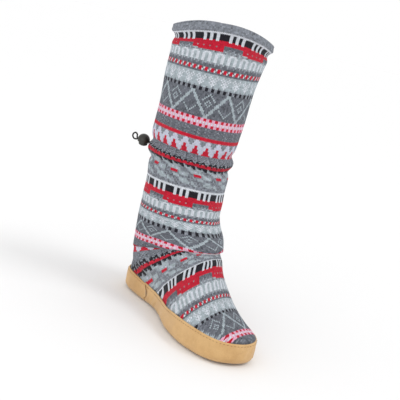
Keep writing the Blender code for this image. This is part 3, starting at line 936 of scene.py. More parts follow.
        far_y = np.interp(x, far[:, 0], far[:, 1])
        lean = smooth_curve(share, table[:, 0], table[:, 2])
        upwards = ease(level, self.side_top, self.instep_height)
        middle = (near_y + far_y) / 2 + lean * self.ball_width * upwards
        in_foot = (x >= near[0, 0]) & (x <= near[0, 0] + length)
        foot_half = np.where(in_foot, (far_y - near_y) / 2 * narrowing, 0.0)
        foot_y = np.where(is_near, middle - foot_half, middle + foot_half)
        wider = np.where(is_near, np.minimum(foot_y, shaft_y), np.maximum(foot_y, shaft_y))
        over_shaft = np.abs(x - centre_x) < half
        y = np.where(over_shaft & (foot_half > 0), wider, np.where(over_shaft, shaft_y, foot_y))
        return np.stack([x, y], axis=-1)

    def _smoothed_ring(self, points: np.ndarray, level: float) -> np.ndarray:
        """Ease a ring's points by their neighbours, most where shaft and foot meet.

        Args:
            points: The ring's points in plan.
            level: Its level.

        Returns:
            The eased points.
        """
        low = ease(level, self.side_top, self.side_top + 0.006)
        amount = 0.5 * low * (1 - ease(level, self.ankle_height, self.boot_height / 2))
        for _ in range(self.ring_passes):
            around = (np.roll(points, 1, axis=0) + np.roll(points, -1, axis=0)) / 2
            points = points + (around - points) * amount
        return points

    def _ring_levels(self) -> np.ndarray:
        """Choose the rings' levels, closer where the form turns.

        Returns:
            The levels, rising.
        """
        foot = np.concatenate([
            np.linspace(self.sole_thickness + self.seat_gap, self.side_top, 3),
            self.side_top + (self.ankle_height - self.side_top) * (np.arange(1, 17) / 17) ** 1.35,
        ])
        steps = np.array([-0.55, -0.38, -0.22, 0.0, 0.3, 0.75, 1.3])
        slouch = self.ankle_height + self.slouch_reach * steps
        low = np.linspace(slouch[-1], self.casing_height - 1.5 * self.casing_width, 4)[1:]
        steps = np.array([-0.92, -0.5, -0.25, 0.0, 0.25, 0.5, 0.92, 1.5])
        casing = self.casing_height + self.casing_width * steps
        hem = self.boot_height - self.hem_height
        high = np.linspace(casing[-1], hem - self.hem_step, 8)[1:]
        rim = np.array([hem, self.boot_height - 0.0012, self.boot_height])
        return np.concatenate([foot[foot < slouch[0] - 0.0015], slouch, low, casing, high, rim])

    def _plan_rings(self) -> np.ndarray:
        """Work out the rings before the knit slouches, each eased by the ones above and below.

        Returns:
            Levels by points by two, in plan.
        """
        seated = self.sole_ring(self.band_thickness + self.seat_gap, self._turns())
        rear = 1 - ease((1 - np.cos(self._turns())) / 2, 0.30, 0.55)
        plans = []
        for level in self.levels:
            plan = seated
            if level > self.side_top + 1e-9:
                plan = self._smoothed_ring(self._upper_ring(level), level)
                low = 1 - ease(level, self.side_top, self.side_top + self.heel_tuck)
                plan = plan + (seated - plan) * (low * rear)[:, None]
            plans.append(plan)
        rings = np.array(plans)
        free = ease(self.levels, self.side_top, self.side_top + self.heel_tuck)
        free = free * (1 - ease(self.levels, self.ankle_height, 1.4 * self.ankle_height))
        for _ in range(self.level_passes):
            middle = (rings[:-2] + rings[2:]) / 2
            rings[1:-1] += (middle - rings[1:-1]) * 0.6 * free[1:-1, None, None]
        return rings

    def _shape_rings(self) -> np.ndarray:
        """Give the rings their slouch, hem and dipping rim.

        Returns:
            Levels by points by three.
        """
        rings = []
        for level, plan in zip(self.levels, self._plan_rings()):
            centre_x, centre_y, half = self.shaft_section(level)
            out = plan - np.array([centre_x, centre_y])
            reach = np.linalg.norm(out, axis=1)
            out = out / reach[:, None]
            beyond = 1 - ease(reach, 1.3 * half, 2.2 * half)
            plan = plan + out * (self._slouch_swell(level, out) * beyond)[:, None]
            if level > self.boot_height - self.hem_height - 1e-9:
                plan = plan + out * self.hem_step
            angle = np.arctan2(out[:, 1], out[:, 0])
            dip = self.rim_dip * np.sin(angle + self.rim_high_turn) ** 2
            dip = dip * ease(level, self.boot_height - self.rim_dip_reach, self.boot_height)
            low = 1 - ease(level, 1.2 * self.band_height_full, 0.8 * self.ankle_height)
            rings.append(np.column_stack([plan, level - dip + self.floor_lift(plan[:, 0]) * low]))
        return np.array(rings)

    def surface(self, turns: np.ndarray, levels: np.ndarray) -> np.ndarray:
        """Read the upper's outside at turns and levels of the same shape.

        Round the ring the curve is the trigonometric one through the ring's points; from level to
        level it is the cubic through the rings.

        Args:
            turns: Angles round the boot.
            levels: Levels above the floor.

        Returns:
            Points in the model's frame.
        """
        waves = np.fft.rfft(self.rings, axis=1) / self.ring_points
        order = np.arange(waves.shape[1])
        single = (order == 0) | (order == self.ring_points // 2)
        waves = waves * np.where(single, 1.0, 2.0)[None, :, None]
        waves = waves * np.exp(-((order / self.wave_limit) ** 4))[None, :, None]
        at = np.clip(levels, self.levels[0], self.levels[-1])
        slopes = np.gradient(waves, self.levels, axis=0)
        piece = np.clip(np.searchsorted(self.levels, at, side="right") - 1, 0, len(self.levels) - 2)
        length = (self.levels[piece + 1] - self.levels[piece])[..., None, None]
        t = (at - self.levels[piece])[..., None, None] / length
        total = np.zeros((*at.shape, 3))
        # a few waves at a time, so that the arrays stay small
        for part in np.array_split(order, 4):
            low, high = (
                (waves[i][..., part, :], slopes[i][..., part, :]) for i in (piece, piece + 1)
            )
            turned = np.exp(1j * turns[..., None] * part)[..., None]
            total += (cubic(t, length, low, high) * turned).real.sum(axis=-2)
        return total


@dataclass
class KnitChart:
    """The fair isle pattern: bands of rows from the rim down, repeated down the boot."""

    stitches: int = 192
    hem_rows: int = 5
    seed: int = 7

    def _bands(self) -> list[tuple[str, ...]]:
        """Chart one repeat.

        Returns:
            Its bands, each a few rows of letters that repeat round the boot.
        """
        keys = "kkkkkkwwkkwwkkww"
        ends = "rrrrrrwwrrwwrrww"
        piano = (keys,) * 7
        red = (ends, "r", "r", "r", "r")
        block, bay = "r" * 20, "d" * 12
        scallops = (
            block + bay,
            "rrrgrrrgrrrgrrrgrrrr" + bay,
            block + "dddgddgddgdd",
            block + "gdggdggdggdg",
            "llllrrrrrrrrrrrrrrrr" + "glgglgglgglg",
        )
        arches = ("gglggglg", "lwwwwlll", *("wwllwwll",) * 5, "glglgglg")
        dots = ("dgdd", "dddd", "rrdw", "rrwd", "dddd")
        tulips = (
            "llllllll",
            "lwlllwll",
            "wlwlwlwl",
            "lwlwlwll",
            "llwwwlll",
            "lwlwlwll",
            "llwwwlll",
            "lllwllll",
            "glllglll",
        )
        teeth = ("rrpp", "rrpp", "wpwp", "wpwp", "pprr", "pprr")
        crosses_up = ("gkkgggkg", "kkkggkkk", "kgkkgkkg")
        beads = ("rrrk", "rrrr")
        crosses_down = ("kkkkgkkk", "gkkklgkk", "lgkkllll")
        blocks = (
            "llllllllggggggll",
            "lllvlllllggggggl",
            "llllllvllggggggg",
            "ggrrrrrgllllllgg",
            "ggrrrrrgllvlllgg",
            "gggggggglllllldg",
            "dgggllllggggggdg",
            "gggdllllggdggggg",
        )
        melange = (
            "ggdggggglllllgdg",
            "lgggdgggllllllgg",
            "llgggggdlllllllg",
            "lllggdgggglllllg",
            "ggllgggggdgggggg",
            "gdgggggdggggggdg",
            "ggggdggggggdgggg",
        )
        bands = [("w",), piano, red, scallops, arches, dots, tulips, ("kkgg",) * 2]
        bands += [self._diamonds(), teeth, ("ddddddg", "dddgddd", "dddddgd") * 3, ("r", "r")]
        bands += [self._triangles(), ("gdgdggdg", "dgdgdgdd") * 3, crosses_up, beads, crosses_down]
        return bands + [blocks, melange]

    @staticmethod
    def _diamonds() -> tuple[str, ...]:
        """Chart a wide light zigzag, with small nested points and a ring in its bays.

        Returns:
            The rows of letters.
        """
        row, column = np.meshgrid(np.arange(17), np.arange(24), indexing="ij")
        from_peak = np.minimum(column, 24 - column)
        from_trough = np.abs(column - 12)
        wide = np.abs(row - from_peak * 16 / 12) < 1.35
        point_down = (np.abs(row - (14 - from_peak)) < 0.9) & (from_peak <= 4)
        point_up = (np.abs(row - (1 + from_trough)) < 0.9) & (from_trough <= 4)
        ring = np.abs(np.hypot(row - 7, column - 12) - 1.7) < 0.5
        light = wide | point_down | point_up | ring
        return tuple("".join("l" if mark else "d" for mark in rows) for rows in light)

    @staticmethod
    def _triangles() -> tuple[str, ...]:
        """Chart red triangles, each in a wider lilac one, on grey.

        Returns:
            The rows of letters.
        """
        row, column = np.meshgrid(np.arange(13), np.arange(8), indexing="ij")
        away = np.abs(column - 3.5)
        white = away < 1.1 + row * 0.42
        red = (row >= 6) & (away < 0.6 + (row - 6) * 0.38)
        letters = np.where(red, "r", np.where(white, "v", "g"))
        return tuple("".join(rows) for rows in letters)

    def letters(self, rows: int) -> np.ndarray:
        """Chart the whole upper.

        Args:
            rows: How many rows there are.

        Returns:
            The yarn's letter for each row and stitch.
        """
        repeat = [row for band in self._bands() for row in band]
        lines = ["g"] * self.hem_rows
        while len(lines) < rows:
            lines += repeat
        whole = [(line * self.stitches)[: self.stitches] for line in lines[:rows]]
        return np.array([list(line) for line in whole])

    def colours(self, rows: int) -> np.ndarray:
        """Colour every stitch: its yarn, lightened or darkened a little at random.

        Args:
            rows: How many rows there are.

        Returns:
            Rows by stitches by three, in linear light.
        """
        yarns = {
            Yarn.BLACK: (linear(30, 29, 38), 0.25),
            Yarn.WHITE: (linear(220, 225, 233), 0.06),
            Yarn.RED: (linear(204, 24, 52), 0.10),
            Yarn.PINK: (linear(240, 178, 204), 0.07),
            Yarn.DARK: (linear(106, 110, 119), 0.21),
            Yarn.GREY: (linear(138, 143, 152), 0.21),
            Yarn.LIGHT: (linear(174, 186, 193), 0.12),
            Yarn.LILAC: (linear(208, 211, 228), 0.07),
        }
        letters = self.letters(rows)
        colours = np.zeros((*letters.shape, 3))
        spread = np.zeros(letters.shape)
        for yarn, (colour, amount) in yarns.items():
            mask = letters == yarn.value
            colours[mask] = colour
            spread[mask] = amount
        chance = np.random.default_rng(self.seed).normal(size=letters.shape)
        return colours * np.clip(1 + chance * spread, 0.5, 1.6)[..., None]


@dataclass
class KnittedUpper:
    """The knitted stocking: leg and foot in one count of rows, its rim, and the lining inside."""

    form: BootForm
    chart: KnitChart
    # columns: row, level in mm
    leg_rows: tuple = (
        (0, 358.0), (5, 349.5), (6, 347.5), (13, 339.5), (18, 334.0), (23, 327.0), (31, 311.0),
        (36, 299.5), (45, 283.0), (47, 278.5), (64, 247.5), (70, 237.0), (79, 225.5), (81, 221.0),
        (88, 212.5), (94, 203.0), (100, 195.5), (103, 192.5), (105, 188.0), (108, 183.0),
        (116, 170.5), (123, 159.5), (124, 156.5), (131, 148.5), (136, 142.5), (141, 136.5),
        (149, 125.0), (154, 117.5), (163, 108.0), (165, 103.5), (182, 89.5), (188, 81.5),
        (197, 73.5), (199, 70.5), (207, 56.0), (213, 44.0), (222, 25.0), (240, -10.0),
    )
    # columns: row, where its plane meets the floor in mm, forward lean of the plane
    foot_rows: tuple = (
        (200, -460.0, 5.2), (207, -318.0, 3.4), (213, -218.6, 2.2), (222, -139.0, 1.42),
        (230.5, -93.7, 1.13), (241.5, -61.2, 0.96), (248.5, -43.0, 0.88), (254, -28.0, 0.80),
        (258.5, -13.0, 0.74), (270, 27.1, 0.60), (282, 60.5, 0.45),
        (303, 103.5, 0.40), (330, 150.0, 0.35),
    )
    # columns: row, fall towards the front and inner side
    row_tilts: tuple = (
        (0, 0.0), (45, 0.0), (66, 0.030), (80, 0.050), (103, 0.050), (130, 0.075), (150, 0.070),
        (164, 0.055), (185, 0.030), (197, 0.010), (207, 0.0), (240, 0.0),
    )
    # columns: row, rise towards the toe
    row_rises: tuple = (
        (0, 0.0), (103, 0.0), (124, 0.040), (165, 0.080), (182, 0.115), (188, 0.125), (198, 0.150),
        (207, 0.200), (240, 0.200),
    )
    rise_from: float = -0.028
    tilt_way: tuple[float, float] = (0.5, 0.866)
    tilt_level: float = 0.15
    rise_level: float = 0.10
    first_level: float = 0.020
    level_step: float = 0.001
    leg_slant: float = 0.28
    plane_skew: float = 0.40
    foot_from: int = 200
    split_row: int = 172
    crease_height: float = 0.0887
    crease_slope: float = 0.31
    crease_depth: float = 0.0026
    crease_lip: float = 0.0014
    lip_height: float = 0.0030
    lip_reach: float = 0.009
    sink_reach: float = 0.0055
    fold_depth: float = 0.0050
    # how many wales on each side the fold's width is averaged over
    fold_evening: int = 4
    # rows taken in by the fold, and places from the heel forwards, at which it is nil and full
    fold_rows: tuple[float, float] = (0.5, 14.0)
    fold_places: tuple[float, float] = (-0.105, -0.080)
    rim_thickness: float = 0.0027
    rim_rows: int = 16
    last_row: int = 318
    facing_turn: float = math.radians(151.0)
    gather: float = 0.16
    twist: float = math.radians(10.5)
    # levels between which the drawn-in knit's stretch begins, and between which it ends
    drawn_levels: tuple[float, float] = (0.165, 0.205)
    free_levels: tuple[float, float] = (0.040, 0.125)
    bearing_steps: int = 1441
    upright_level: float = 0.118
    upright_fade: tuple[float, float] = (-0.037, 0.014)
    upright_places: tuple[float, float] = (-0.105, -0.070)
    phase: float = math.radians(-3.0)
    wave_depths: tuple[float, float] = (0.0007, 0.0005)
    pucker_depth: float = 0.0006
    pucker_reach: float = 0.017
    pucker_turn: float = 0.77
    slack_depth: float = 0.0009
    slack_level: float = 0.135
    slack_reach: float = 0.030
    lining_wales: int = 144
    lining_levels: int = 190
    lining_bottom: float = 0.0085
    lining_drop: float = 0.016
    lining_overlap: float = 0.0002
    tunnel_depth: float = 0.0042
    tunnel_reach: float = 0.0075

    def _turn_at(self, fabric: np.ndarray, level: np.ndarray) -> np.ndarray:
        """Find a wale's turn at a level: below the casing the outer side's knit is stretched.

        Args:
            fabric: The wale's angle in the fabric.
            level: The level.

        Returns:
            The turn round the boot.
        """
        amount = (1 - ease(level, *self.drawn_levels)) * ease(level, *self.free_levels)
        shifted = fabric + self.phase + self.twist * amount
        return shifted + self.gather * amount * np.sin(shifted - self.facing_turn)

    def _wobble(self, turn: np.ndarray, level: np.ndarray) -> np.ndarray:
        """Find how far limp knit stands out: slow waves, puckers at the casing, folds below it.

        Each is a product of sines of the turn and the level. The puckers and the folds fade away
        from their own level as a bell does, and the puckers are deepest beside the lock.

        Args:
            turn: Turns round the boot.
            level: Levels.

        Returns:
            The distances.
        """
        broad, fine = self.wave_depths
        slow = broad * np.sin(3 * turn + 34 * level + 0.6) * np.sin(21 * level + 1.1)
        slow += fine * np.sin(5 * turn - 47 * level) * np.sin(30 * level + 2.0)
        near = np.exp(-(((level - self.form.casing_height) / self.pucker_reach) ** 2))
        off = np.angle(np.exp(1j * (turn - self.pucker_turn)))
        beside = 0.35 + 0.65 * np.exp(-((off / 0.7) ** 2))
        ripple = np.sin(27 * turn) + 0.6 * np.sin(41 * turn + 1.3)
        pucker = self.pucker_depth * near * beside * ripple
        slack = np.exp(-(((level - self.slack_level) / self.slack_reach) ** 2))
        rolls = np.sin(190 * level + 1.7 * np.sin(turn - 1.0)) * np.sin(turn * 2 + 0.4) ** 2
        return slow * ease(level, 0.04, 0.10) + pucker + self.slack_depth * slack * rolls

    def _bearing(self, level: float, turns: np.ndarray) -> np.ndarray:
        """Find the bearings of turns, as seen from the shaft's middle.

        Args:
            level: The level.
            turns: Rising turns.

        Returns:
            The bearings, rising with the turns.
        """
        points = self.form.surface(turns, np.full(len(turns), level))
        centre_x, centre_y, _ = self.form.shaft_section(level)
        away = points - np.array([centre_x, centre_y, 0.0]) + self.form.origin
        return np.unwrap(np.arctan2(away[:, 1], away[:, 0]))

    def _upright(self, turn: np.ndarray, levels: np.ndarray) -> tuple[np.ndarray, np.ndarray]:
        """Keep the leg's wales upright down to the crease, where the foot's own turns take over.

        Below the upright level an upright wale takes the turn whose bearing from the shaft's middle
        equals the wale's bearing at that level. In front the leg is all upright and the foot isn't
        at all. Round the heel, where there is no crease, both change slowly to the foot's turns.

        Args:
            turn: Turns, wales by levels.
            levels: The levels.

        Returns:
            The leg's turns and the foot's, wales by levels.
        """
        dense = np.linspace(-math.pi, 3 * math.pi, self.bearing_steps)
        last = int(np.searchsorted(levels, self.upright_level))
        kept = np.interp(turn[:, last], dense, self._bearing(levels[last], dense))
        drawn = turn.copy()
        for row in range(last):
            drawn[:, row] = np.interp(kept, self._bearing(levels[row], dense), dense)
        middle = int(np.searchsorted(levels, self.crease_height))
        reach = self.form.surface(drawn[:, middle], np.full(len(drawn), levels[middle]))[:, 0]
        crease = (self.crease_height + self.crease_slope * reach)[:, None]
        ahead = ease(reach, *self.upright_places)[:, None]
        slow = ease(levels[None], *(crease + fade for fade in self.upright_fade))
        leg, foot = slow + ahead * (1 - slow), slow * (1 - ahead)
        return turn + (drawn - turn) * leg, turn + (drawn - turn) * foot

    def _columns(self, count: int, levels: np.ndarray) -> list[tuple[np.ndarray, np.ndarray]]:
        """Lay the form out as wales by levels, once for the leg and once for the foot.

        Args:
            count: How many wales there are round the boot.
            levels: The levels to read.

        Returns:
            For each, points and outward normals, wales by levels by three.
        """
        fabric = even_turns(count)[:, None]
        level = np.broadcast_to(levels, (count, len(levels)))
        laid = []
        for turn in self._upright(self._turn_at(fabric, level), levels):
            points = self.form.surface(turn, level)
            around = np.roll(points, -1, axis=0) - np.roll(points, 1, axis=0)
            normals = np.cross(around, np.gradient(points, axis=1))
            normals /= np.linalg.norm(normals, axis=-1, keepdims=True) + 1e-12
            laid.append((points + normals * self._wobble(turn, level)[..., None], normals))
        return laid

    @staticmethod
    def _read(table: np.ndarray, place: np.ndarray) -> np.ndarray:
        """Read a table at places along its wales, with a straight line between levels.

        Args:
            table: Wales by levels by three.
            place: The places, wales by rows, in levels.

        Returns:
            What stands there, wales by rows by three.
        """
        place = np.clip(place, 0, table.shape[1] - 1.001)
        low = place.astype(int)
        part = (place - low)[..., None]
        wale = np.arange(table.shape[0])[:, None]
        return table[wale, low] * (1 - part) + table[wale, low + 1] * part

    def _foot_places(self, points: np.ndarray, rows: np.ndarray) -> np.ndarray:
        """Find where each wale meets each foot row's plane.

        A row's plane holds the points whose x plus skew times y equals its foot plus its lean times
        the height.

        Args:
            points: Wales by levels by three.
            rows: The rows' numbers.

        Returns:
            Places along the wale, wales by rows; 0 or less is behind the band.
        """
        table = np.array(self.foot_rows)
        foot = smooth_curve(rows, table[:, 0], table[:, 1]) * MM
        lean = smooth_curve(rows, table[:, 0], table[:, 2])
        reach = points[..., 0] + self.plane_skew * points[..., 1]
        ahead = reach[:, :, None] - foot - lean * points[..., 2][:, :, None]
        count = (ahead > 0).sum(axis=1)
        below = np.clip(count - 1, 0, points.shape[1] - 2)
        wale, row = np.meshgrid(np.arange(len(points)), np.arange(len(rows)), indexing="ij")
        low, high = ahead[wale, below, row], ahead[wale, below + 1, row]
        drop = np.where(np.abs(low - high) < 1e-12, 1e-12, low - high)
        part = np.clip(low / drop, 0, 1)
        return np.where(count > 0, below + part, 0.0)

    def _lay_rows(self) -> dict[str, np.ndarray]:
        """Lay every row of the knit on the form.

        Above the crease a row keeps its level, with its tilt and its rise. Below, it lies in its
        plane across the foot. The rows between are folded inwards at the crease and out again.

        Returns:
            The grid's points, rows by half stitches by three, and which of them are hidden.
        """
        halves = 2 * self.chart.stitches
        levels = np.arange(self.first_level, self.form.boot_height + 1e-9, self.level_step)
        sides = self._columns(halves, levels)
        points = sides[0][0]
        step = levels[1] - levels[0]
        rows = np.arange(0, self.last_row + 1)
        slant = np.where(np.arange(halves) % 2 == 0, -self.leg_slant, self.leg_slant)[:, None]
        numbers = rows[None, :] + slant * ease(rows, 0.0, 2.0)[None, :]
        table, tilts, rises = map(np.array, (self.leg_rows, self.row_tilts, self.row_rises))
        shaft = points[:, int(np.searchsorted(levels, self.tilt_level)), :2]
        across = (shaft - shaft.mean(axis=0)) @ np.array(self.tilt_way)
        leg = np.interp(numbers, table[:, 0], table[:, 1] * MM)
        leg = leg - across[:, None] * np.interp(numbers, tilts[:, 0], tilts[:, 1])
        ahead = points[:, int(np.searchsorted(levels, self.rise_level)), 0] - self.rise_from
        leg = leg + ahead[:, None] * np.interp(numbers, rises[:, 0], rises[:, 1])
        leg = (leg - levels[0]) / step
        creases = []
        for laid, _ in sides:
            height = laid[..., 2] - self.crease_height - self.crease_slope * laid[..., 0]
            under = (height < 0).sum(axis=1)
            wale = np.arange(halves)
            low, high = height[wale, under - 1], height[wale, under]
            creases.append(under - 1 - low / (high - low))
        whole_rows = self._foot_places(sides[1][0], rows.astype(float))
        foot = np.empty_like(numbers)
        for half in (0, 1):
            own, at = whole_rows[half::2], numbers[half]
            row = np.floor(at).astype(int)
            share = (at - row)[None, :]
            before, after = (np.clip(r, 0, len(rows) - 1) for r in (row, row + 1))
            foot[half::2] = own[:, before] * (1 - share) + own[:, after] * share
        leg_end = np.array([
            np.interp(-crease, -leg[wale], numbers[wale]) for wale, crease in enumerate(creases[0])
        ])
        late = slice(self.foot_from, None)
        foot_start = np.array([
            np.interp(-crease, -np.minimum.accumulate(foot[wale][late]), numbers[wale][late])
            for wale, crease in enumerate(creases[1])
        ])
        return self._fold(sides, numbers, (leg, foot), creases, (leg_end, foot_start), step)

    def _fold(
        self, sides: list[tuple[np.ndarray, np.ndarray]], numbers: np.ndarray,
        places: tuple[np.ndarray, np.ndarray], creases: list[np.ndarray],
        ends: tuple[np.ndarray, np.ndarray], step: float,
    ) -> dict[str, np.ndarray]:
        """Join leg and foot through the fold.

        Above the crease the leg bulges in a lip and turns inwards in a quarter circle. Below it the
        foot comes out again from under the lip. Between them the rows go straight from edge to
        edge, bowed inwards by a sine. All this fades out towards the heel, where the crease ends.

        Args:
            sides: Points and normals of the leg's wales and the foot's.
            numbers: Each grid point's row number.
            places: Each point's place if it were on the leg, and if it were on the foot.
            creases: The crease's place on each of the leg's wales and the foot's.
            ends: The row at which each wale reaches the crease, and at which it leaves it.
            step: The distance between levels.

        Returns:
            The points and which of them are hidden, rows by wales.
        """
        gap = np.maximum(ends[1] - ends[0], 0.0)
        wales = self.fold_evening
        evened = np.ones(2 * wales + 1) / (2 * wales + 1)
        gap = np.convolve(np.concatenate([gap[-wales:], gap, gap[:wales]]), evened, mode="valid")
        reach = self._read(sides[0][0], creases[0][:, None])[:, 0, 0]
        deep = (ease(gap, *self.fold_rows) * ease(reach, *self.fold_places))[:, None]
        start, end = ends[0][:, None], np.maximum(ends[0] + gap, ends[0] + 1e-3)[:, None]
        on_leg, on_foot = numbers <= start, numbers >= end
        inside = np.clip((numbers - start) / (end - start), 0.0, 1.0)
        leg_place = np.where(on_leg, places[0], creases[0][:, None])
        foot_place = np.where(on_foot, places[1], creases[1][:, None])
        above = np.clip((leg_place - creases[0][:, None]) * step, 0.0, None)
        below = np.clip((creases[1][:, None] - foot_place) * step, 0.0, None)
        under = np.clip(1 - above / self.lip_height, 0, 1)
        turned_in = 1 - np.sqrt(np.clip(1 - under**2, 0, 1))
        lip = self.crease_lip * np.exp(-((above / self.lip_reach) ** 2))
        sunk = np.exp(-((below / self.sink_reach) ** 1.5))
        leg_out, foot_out = lip - self.crease_depth * turned_in, -self.crease_depth * sunk
        ways = ((leg_place, leg_out), (foot_place, foot_out))
        laid = [
            self._read(points, place) + self._read(normals, place) * (out * deep)[..., None]
            for (points, normals), (place, out) in zip(sides, ways)
        ]
        share = inside[..., None]
        bowed = self._read(sides[0][1], leg_place) * (deep * np.sin(np.pi * inside))[..., None]
        joined = laid[0] * (1 - share) + laid[1] * share - bowed * self.fold_depth
        return {"points": joined.transpose(1, 0, 2), "hidden": (on_foot & (foot_place <= 0.5)).T}

    def _rim(self, outer: np.ndarray) -> np.ndarray:
        """Turn the rim over: half a circle inwards, then down behind the outer rows.

        Args:
            outer: The first rows, rows by wales by three.

        Returns:
            The rows from deepest inside up to the rim, rows by wales by three.
        """
        inward = outer[0].mean(axis=0) - outer[0]
        inward[:, 2] = 0
        inward /= np.linalg.norm(inward, axis=1)[:, None]
        turn = np.array([0.75, 0.5, 0.25]) * math.pi
        radius = self.rim_thickness / 2
        across = (radius * (1 - np.cos(turn)))[:, None, None]
        rise = (radius * np.sin(turn))[:, None, None]
        curl = outer[0] + inward * across + UP * rise
        down = outer[: self.rim_rows - 3] + inward * self.rim_thickness
        return np.concatenate([down[::-1], curl])

    def build(self) -> list[bpy.types.Object]:
        """Build the knit and its lining.

        Returns:
            The pieces.
        """
        laid = self._lay_rows()
        points, split = laid["points"], self.split_row
        chart = np.repeat(self.chart.colours(self.last_row + 1), 2, axis=1)
        hem = chart[: self.chart.hem_rows]
        edge = np.concatenate([hem[:, ::-1], hem, hem[:, ::-1], hem])[: self.rim_rows]
        finish = KnitFinish().make()
        across = np.arange(points.shape[1] + 1) / 2
        leg = Grid(np.concatenate([self._rim(points), points[: split + 1]]), Facing.TURNED)
        leg.map("stitches", across, -np.arange(-self.rim_rows, split + 1))
        leg.colour("yarn", np.concatenate([edge, chart[:split]]))
        foot = Grid(points[split:], Facing.TURNED)
        foot.map("stitches", across, -np.arange(split, self.last_row + 1))
        foot.colour("yarn", chart[split : self.last_row])
        hidden = laid["hidden"][split:]
        wide = np.concatenate([hidden, hidden[:, :1]], axis=1)
        foot.keep(~(wide[:-1, :-1] & wide[1:, :-1] & wide[:-1, 1:] & wide[1:, 1:]))
        pieces = [
            place_piece("knit_leg", leg.mesh("knit_leg"), finish),
            place_piece("knit_foot", foot.mesh("knit_foot"), finish),
            self._lining(),
        ]
        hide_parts("upper")
        return pieces

    def _lining(self) -> bpy.types.Object:
        """Build the soft lining: the form moved inwards, with a tunnel for the cord at the casing.

        Returns:
            The piece.
        """
        top = self.form.boot_height - self.lining_drop
        levels = np.linspace(self.lining_bottom, top, self.lining_levels)
        points, normals = self._columns(self.lining_wales, levels)[1]
        away = (levels - self.form.casing_height) / self.tunnel_reach
        inset = self.rim_thickness - self.lining_overlap + self.tunnel_depth * np.exp(-(away**4))
        laid = (points - normals * inset[None, :, None]).transpose(1, 0, 2)
        finish = FleeceFinish("lining_fleece", linear(176, 178, 182)).make()
        return place_piece("lining", Grid(laid, Facing.TURNED).mesh("lining"), finish)


